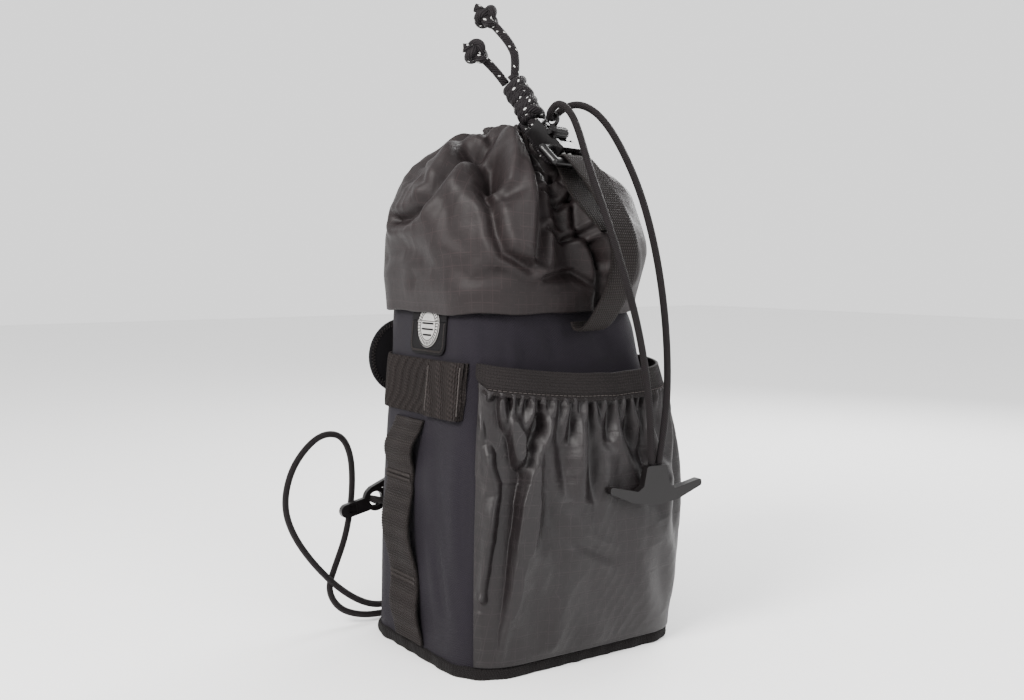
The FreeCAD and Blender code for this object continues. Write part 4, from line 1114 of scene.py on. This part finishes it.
def make_handle():
    """A webbing loop from under the hem, over the lock's bar and back under itself."""
    outward = np.cross(LOCK_SIDE, [0, 0, 1.0])
    bar_s = (LOCK_RING - HANDLE_FOOT).dot(outward)
    over = []
    for degrees in (30, 70, 110, 150, 185):
        angle = math.radians(degrees)
        over.append((bar_s + 3.1 * math.cos(angle), LOCK_RING[2] + 3.1 * math.sin(angle)))
    # The webbing's middle line, as distance out from the foot and height.
    route = [(0.2, 152.0), (0.6, 149.6), (3.0, 148.0), (7.4, 150.0), (13.0, 157.0), (18.5, 166.0),
             (22.0, 176.0), (22.0, 186.0), (18.5, 196.0), (12.5, 206.0), (6.0, 214.6), (0.6, 220.4)]
    route += over + [(-7.0, 218.0), (-3.4, 211.5), (1.6, 205.5), (7.6, 199.5), (13.0, 194.6), (15.9, 191.6)]
    controls = []
    for s, z in route:
        x = HANDLE_FOOT[0] * MM + outward[0] * s * MM
        y = HANDLE_FOOT[1] * MM + outward[1] * s * MM
        controls.append((x, y, z * MM))
    line = np.array(smooth_line(controls, 20))
    steps = reaches(line)
    count = int(steps[-1] / (0.24 * MM))
    even = np.linspace(0, steps[-1], count)
    line = np.stack([np.interp(even, steps, line[:, k]) for k in range(3)], axis=1)
    tangent = np.gradient(line, axis=0)
    tangent /= np.linalg.norm(tangent, axis=1, keepdims=True)
    out = np.cross(tangent, LOCK_SIDE)
    out /= np.linalg.norm(out, axis=1, keepdims=True)
    t = np.linspace(-1, 1, 30)
    ribs = 0.36 * (np.sin(TAU * even / MM / RIB) / 2 - 0.5)
    rounding = -0.3 * np.abs(t) ** 8
    front, rear = [], []
    for index in range(count):
        centre = line[index] + np.outer(t * HANDLE_HALF_WIDTH * MM, LOCK_SIDE)
        rise = np.outer((HANDLE_HALF_THICK + ribs[index] + rounding) * MM, out[index])
        front.append(centre + rise)
        rear.append(centre - rise)
    ring = np.concatenate([np.array(front), np.array(rear)[:, ::-1]], axis=1)
    across = t * HANDLE_HALF_WIDTH
    u = np.concatenate([across, 20 - across, [-HANDLE_HALF_WIDTH]])[None, :].repeat(count, axis=0)
    v = (even / MM)[:, None].repeat(u.shape[1], axis=1)
    data = grid_data("handle_webbing", ring, np.stack([u, v], axis=2), closed=True)
    item = add_object("handle_webbing", data, "webbing", "bag")
    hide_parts("pull_handle")


make_handle()


# ---- Drawcord and knots -------------------------------------------------------------------------
KNOT_UP = unit(np.array([-0.20, 0.50, 0.84]))
DRAWCORD = 4.0
# How far the strands and the feeds lie off the lock's middle plane, in mm.
STRANDS_OUT = -0.8
FEEDS_OUT = -4.5
# Distance from bulge to bulge up the lanyard knot, in mm.
BULGE_RISE = 5.6


def in_lock(side, out, up):
    """A point in the lock's own frame, from the middle of its bar."""
    return LOCK_RING + LOCK_SIDE * side + LOCK_OUT * out + LOCK_UP * up


def rope(name, points, body, node):
    line = smooth_line([tuple(np.array(p) * MM) for p in points], 10)
    item = add_object(name, tube_mesh(name, line, DRAWCORD * MM), "paracord", body)
    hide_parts(node)


def make_lanyard_knot():
    """Two strands wound round each other into a column of four bulges."""
    base = in_lock(0, STRANDS_OUT, LOCK_LENGTH + 3.0)
    side = unit(np.cross(KNOT_UP, LOCK_OUT))
    front = np.cross(side, KNOT_UP)
    turns, rise, thick = 4.4, 21.5, 4.6 * MM
    parts = []
    for strand in range(2):
        line = []
        for t in np.linspace(0, 1, 190):
            angle = TAU * turns * t + strand * math.pi
            radius = 3.4 * min(1.0, 6 * t + 0.2, 6 * (1 - t) + 0.3)
            wobble = 1.5 * math.sin(angle + strand * 0.8)
            up = 2.2 + rise * t + wobble
            round_it = side * math.cos(angle) * 1.18 + front * math.sin(angle) * 0.92
            line.append((base + KNOT_UP * up + round_it * radius) * MM)
        parts.append(tube_mesh("strand", line, thick, sides=16))
    for bulge in range(4):
        line = []
        middle = base + KNOT_UP * (5.0 + BULGE_RISE * bulge)
        tilt = 0.55 if bulge % 2 else -0.55
        for angle in np.linspace(0, TAU * 0.96, 48):
            lift = tilt * 3.0 * math.cos(angle)
            place = middle + KNOT_UP * lift + side * math.cos(angle) * 4.5 + front * math.sin(angle) * 3.8
            line.append(place * MM)
        parts.append(tube_mesh("wrap", line, thick, sides=16))
    data = join_data("lanyard_knot_strands", parts)
    item = add_object("lanyard_knot_strands", data, "paracord", "drawcord")
    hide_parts("lanyard_knot")


def make_stopper(name, node, toward):
    """An overhand knot with a short melted end."""
    low, high = [np.array(p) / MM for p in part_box(node)]
    centre, radius = (low + high) / 2, (high[0] - low[0]) / 2
    axis = unit(np.array(toward, float))
    side = unit(np.cross(axis, [0.3, 1.0, 0.2]))
    front = np.cross(axis, side)
    line = []
    size = radius * 0.27
    for t in np.linspace(0, TAU, 150, endpoint=False):
        x = (math.sin(t) + 2 * math.sin(2 * t)) * size
        y = (math.cos(t) - 2 * math.cos(2 * t)) * size
        z = -math.sin(3 * t) * size * 1.5
        line.append((centre + side * x + axis * y * 0.95 + front * z) * MM)
    parts = [tube_mesh("knot", line, 4.2 * MM, sides=16)]
    end = []
    for along, forward, sideways in ((0.55, 1.0, 0.0), (1.02, 1.6, 0.6), (1.32, 1.4, 1.4)):
        end.append((centre + axis * (radius * along) + front * forward + side * sideways) * MM)
    parts.append(tube_mesh("end", end, 4.0 * MM, sides=16))
    item = add_object(name, join_data(name, parts), "paracord", "drawcord")
    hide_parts(node)


def make_drawcord():
    for offset, word in ((-2.1, "left"), (2.1, "right")):
        strand = [in_lock(offset, STRANDS_OUT, up) for up in (5.8, 12, 20, LOCK_LENGTH + 5.5)]
        rope("strand_" + word, strand, "drawcord", "drawcord_strand_" + word)
        neck = np.array([0.0, 9.0, 238.5]) + [offset + 0.4, -12.6 - 1.3, 3.0]
        feed = [neck + [0, 3.0, 0.2], neck]
        for out, up in ((-2.7, 15.0), (-2.3, 9.2), (0.6, 7.9)):
            feed.append(in_lock(offset, FEEDS_OUT + out, up))
        rope("feed_" + word, feed, "bag", "drawcord_feed_" + word)
    base = in_lock(0, STRANDS_OUT, LOCK_LENGTH + 3.0)
    top = base + KNOT_UP * (BULGE_RISE * 1.8 + BULGE_RISE * 3)
    tail = [top + [1.6, -1.2, -3.0], (-7.2, -5.8, 271.5), (-8.4, -4.0, 277.0), (-11.2, -0.6, 283.0),
            (-15.2, 3.0, 288.6)]
    rope("tail_high", tail, "drawcord", "drawcord_tail_high")
    tail = [top + [-1.6, 1.2, -3.0], (-16.8, -2.4, 266.6), (-23.0, -0.6, 271.6)]
    rope("tail_low", tail, "drawcord", "drawcord_tail_low")
    make_lanyard_knot()
    make_stopper("stopper_high", "stopper_knot_high", (-0.5, 0.45, 0.75))
    make_stopper("stopper_low", "stopper_knot_low", (-0.8, 0.2, 0.4))


make_drawcord()


# ---- Strap, label and back pieces ---------------------------------------------------------------
def rounded_slab(name, outline, depth_axis, thick, bevel, material, body, node):
    """A flat piece with softened edges, from its outline in metres."""
    mesh = bmesh.new()
    ring = [mesh.verts.new(p) for p in outline]
    face = mesh.faces.new(ring)
    grown = bmesh.ops.extrude_face_region(mesh, geom=[face])
    moved = [g for g in grown["geom"] if isinstance(g, bmesh.types.BMVert)]
    bmesh.ops.translate(mesh, verts=moved, vec=Vector(depth_axis) * thick)
    bmesh.ops.recalc_face_normals(mesh, faces=mesh.faces)
    layer = mesh.loops.layers.uv.new("weave")
    for item in mesh.faces:
        for loop in item.loops:
            spot = loop.vert.co / MM
            loop[layer].uv = (spot.y if depth_axis[0] else spot.x, spot.z)
    data = bpy.data.meshes.new(name)
    mesh.to_mesh(data)
    mesh.free()
    item = add_object(name, data, material, body)
    soft = item.modifiers.new("soft", "BEVEL")
    soft.width = bevel
    soft.segments = 3
    soft.limit_method = "ANGLE"
    if node:
        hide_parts(node)


def zigzag(name, corners, normal, body, pitch, width, radius):
    """Zigzag stitching along a line of points on a flat piece."""
    corners = np.array(corners)
    reach = reaches(corners)
    count = int(reach[-1] / pitch)
    line = []
    normal = np.array(normal, float)
    for index in range(count + 1):
        distance = reach[-1] * index / count
        spot = at_reach(distance, reach, corners)
        ahead = at_reach(min(distance + pitch, reach[-1]), reach, corners)
        behind = at_reach(max(distance - pitch, 0), reach, corners)
        across = np.cross(normal, unit(ahead - behind))
        line.append(spot + across * width * (0.5 if index % 2 else -0.5) + normal * radius * 0.6)
    add_object(name, tube_mesh(name, line, radius * 2, sides=5), "thread", body)


# The strap behind the cup: the height of its middle line, half its width, where its wings start
# and how far they reach to each side, in mm.
STRAP_Z = 131.5
STRAP_HALF = 19.0
WING_START = 13.4
WING_REACH = 53.0


def strap_outline(side, inset=0.0):
    """Outline of one wing of the strap, as x and z in mm."""
    start = WING_START + inset
    centre, radius = WING_REACH - STRAP_HALF, STRAP_HALF - inset
    points = [(side * start, STRAP_Z - STRAP_HALF + inset)]
    for step in range(25):
        angle = -math.pi / 2 + math.pi * step / 24
        points.append((side * (centre + radius * math.cos(angle)), STRAP_Z + radius * math.sin(angle)))
    points.append((side * start, STRAP_Z + STRAP_HALF - inset))
    return points


def make_strap():
    y0, thick = 54.0 * MM, 2.4 * MM
    behind = y0 + thick
    for side, word in ((-1, "left"), (1, "right")):
        outline = [Vector((x * MM, y0, z * MM)) for x, z in strap_outline(side)]
        body = "strap_" + word
        wing = "strap_wing_" + word
        rounded_slab(wing + "_fabric", outline, (0, 1, 0), thick, 0.7 * MM, "strap", body, wing)
        for label, y, way in (("front", y0, -1), ("back", behind, 1)):
            border = [(x * MM, y, z * MM) for x, z in strap_outline(side, 1.6)]
            zigzag(f"strap_zigzag_{word}_{label}", border, (0, way, 0), body, 0.8 * MM, 2.0 * MM, 0.17 * MM)
    corners = ((-13, 112.5), (13, 112.5), (13, 150.5), (-13, 150.5))
    outline = [Vector((x * MM, y0, z * MM)) for x, z in corners]
    rounded_slab("strap_middle_fabric", outline, (0, 1, 0), thick, 0.7 * MM, "strap", "bag",
                 "strap_middle")
    # A stitched box with a cross in it.
    box = [(-11, 115), (11, 115), (11, 148), (-11, 148), (-11, 115)]
    for index, path in enumerate((box, [box[0], box[2]], [box[3], box[1]])):
        line = []
        for (x0, z0), (x1, z1) in zip(path[:-1], path[1:]):
            for t in np.linspace(0, 1, 30, endpoint=False):
                line.append(((x0 + (x1 - x0) * t) * MM, behind, (z0 + (z1 - z0) * t) * MM))
        stitch_row(f"strap_box_stitch_{index}", line, [(0, 1, 0)] * len(line), 2.6 * MM, 2.0 * MM,
                   0.2 * MM)


make_strap()


def make_label():
    """Woven label with a stitched edge and a plain round patch."""
    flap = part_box("label_flap")
    y0, y1 = flap[0][1], flap[1][1]
    z0, z1 = flap[0][2], flap[1][2]
    z_top = z1 + HEM_RISE + 1 * MM
    x_low, x_high = flap[0][0] + 0.8 * MM, flap[1][0]

    def on_flap(y, z, out=0.0):
        t = (z - z0) / (z1 - z0)
        return Vector((x_low + (x_high - x_low) * t - out, y, z))

    thick, corner, inset = 0.8 * MM, 4.2 * MM, 1.4 * MM

    def foot_corner(middle, radius, first, out):
        """Seven places round one of the flap's two rounded corners, from an angle on."""
        places = []
        for step in range(7):
            angle = first + step / 6 * math.pi / 2
            y, z = middle + radius * math.cos(angle), z0 + corner - radius * math.sin(angle)
            places.append(on_flap(y, z, out))
        return places

    outline = [on_flap(y1, z1)]
    outline += foot_corner(y1 - corner, corner, 0, 0)
    outline += foot_corner(y0 + corner, corner, math.pi / 2, 0)
    outline.append(on_flap(y0, z1))
    rounded_slab("label_fabric", outline, (-1, 0, 0), thick, 0.25 * MM, "label", "label",
                 "label_flap")
    path = [on_flap(y1 - inset, z1 - 0.5 * MM, thick)]
    path += foot_corner(y1 - corner, corner - inset, 0, thick)
    path += foot_corner(y0 + corner, corner - inset, math.pi / 2, thick)
    path.append(on_flap(y0 + inset, z1 - 0.5 * MM, thick))
    zigzag("label_edge_stitch", [tuple(p) for p in path], (-1, 0, 0), "label", 0.55 * MM, 1.0 * MM,
           0.16 * MM)
    seam = z1 + 0.3 * MM
    outline = [on_flap(y1, z_top), on_flap(y1, seam), on_flap(y0, seam), on_flap(y0, z_top)]
    rounded_slab("label_root_fabric", outline, (-1, 0, 0), thick, 0.2 * MM, "label", "bag",
                 "label_root")
    make_patch(on_flap, "label_patch", "label", z0, z1, "label_patch")
    make_patch(on_flap, "label_patch_top", "bag", seam, z_top, None)


def make_patch(on_flap, name, body, z_low, z_high, node):
    """The part of the round patch between two heights: a disc, a rim, an inner ring, ticks and bars."""
    y_mid, z_mid, radius = 0.0, 149.6 * MM, 9.6 * MM

    def place(angle, share, out):
        z = min(max(z_mid + radius * share * math.sin(angle), z_low), z_high)
        return on_flap(y_mid + radius * share * math.cos(angle), z, out)

    disc = [place(step / 96 * TAU, 1.0, 0.9 * MM) for step in range(96)]
    disc = [p for index, p in enumerate(disc) if (p - disc[index - 1]).length > 0.1 * MM]
    slab = []
    for index, spot in enumerate(disc):
        before, after = disc[index - 1], disc[(index + 1) % len(disc)]
        if not z_low < before.z == spot.z == after.z:
            slab.append(spot)
    rounded_slab(name + "_disc", slab, (-1, 0, 0), 0.3 * MM, 0.1 * MM, "print", body, node)
    parts = []
    for share, thick in ((0.95, 0.55), (0.68, 0.4)):
        run = []
        for angle in np.linspace(-math.pi / 2, 1.5 * math.pi, 120):
            z = z_mid + radius * share * math.sin(angle)
            if z_low < z < z_high:
                run.append(tuple(place(angle, share, 1.2 * MM)))
                continue
            if len(run) > 2:
                parts.append(tube_mesh("ring", run, thick * MM, sides=6))
            run = []
        if len(run) > 2:
            parts.append(tube_mesh("ring", run, thick * MM, sides=6))
    for rise, reach in ((-4.0, 0.36), (-1.4, 0.5), (1.2, 0.5)):
        z = z_mid + rise * MM
        if z_low < z < z_high:
            line = [tuple(on_flap(y_mid + radius * reach * t, z, 1.2 * MM)) for t in np.linspace(-1, 1, 8)]
            parts.append(tube_mesh("bar", line, 0.9 * MM, sides=6))
    for step in range(36):
        angle = TAU * step / 36
        if z_low < z_mid + radius * 0.8 * math.sin(angle) < z_high:
            line = [tuple(place(angle, share, 1.2 * MM)) for share in (0.74, 0.8, 0.88)]
            parts.append(tube_mesh("tick", line, 0.5 * MM, sides=5))
    add_object(name + "_lines", join_data(name + "_lines", parts), "label", body)


make_label()


def make_anchors():
    """Folded webbing tabs that hold the cords at the back."""
    for name in ("base_cord_anchor", "hook_cord_anchor"):
        low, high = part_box(name)
        rows, columns = 60, 90
        xs = np.linspace(low[0], high[0], columns)
        ribs = 0.15 * MM * (1 - np.abs(np.sin(math.pi * xs / MM / RIB)))
        points = np.zeros((rows, columns, 3))
        for row, share in enumerate(np.linspace(0, 1, rows)):
            angle = math.pi * share
            points[row, :, 0] = xs
            points[row, :, 1] = low[1] + (high[1] - low[1]) * math.sin(angle) ** 0.45 - ribs
            points[row, :, 2] = (low[2] + high[2]) / 2 - (high[2] - low[2]) / 2 * math.cos(angle)
        data = grid_data(name + "_webbing", points, uv_from(points))
        item = add_object(name + "_webbing", data, "webbing", "bag")
        thicken(item, WEBBING_THICK * MM, 1.0)
        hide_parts(name)


make_anchors()


# ---- CAD nodes that stay, with their materials --------------------------------------------------
def paint(node, material):
    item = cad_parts[node]
    item.data.materials.clear()
    item.data.materials.append(M[material])


KEPT_NODES = {
    "base_panel": "twill",
    "base_board": "board",
    "foam_wall": "foam",
    "liner": "liner",
    "rim_binding": "tape",
    "drawcord_loop": "paracord",
    "cord_lock_body": "plastic",
    "cord_lock_roller": "plastic",
    "toggle_hook": "hook",
    "ring_hook": "hook",
}
for node, material in KEPT_NODES.items():
    paint(node, material)


# ---- Floor --------------------------------------------------------------------------------------
def make_floor():
    data = bpy.data.meshes.new("floor")
    size = 3.0
    corners = [(-size, -size, 0), (size, -size, 0), (size, size, 0), (-size, size, 0)]
    data.from_pydata(corners, [], [(0, 1, 2, 3)])
    floor = bpy.data.objects.new("floor", data)
    bpy.context.scene.collection.objects.link(floor)
    s = Shader("floor", (0.86, 0.86, 0.86), 0.7, specular=0.2)
    mottle = s.noise(40, 3)
    data.materials.append(s.finish(mottle, 0.99, 1.01, mottle, 0.02, 0.0005))


make_floor()
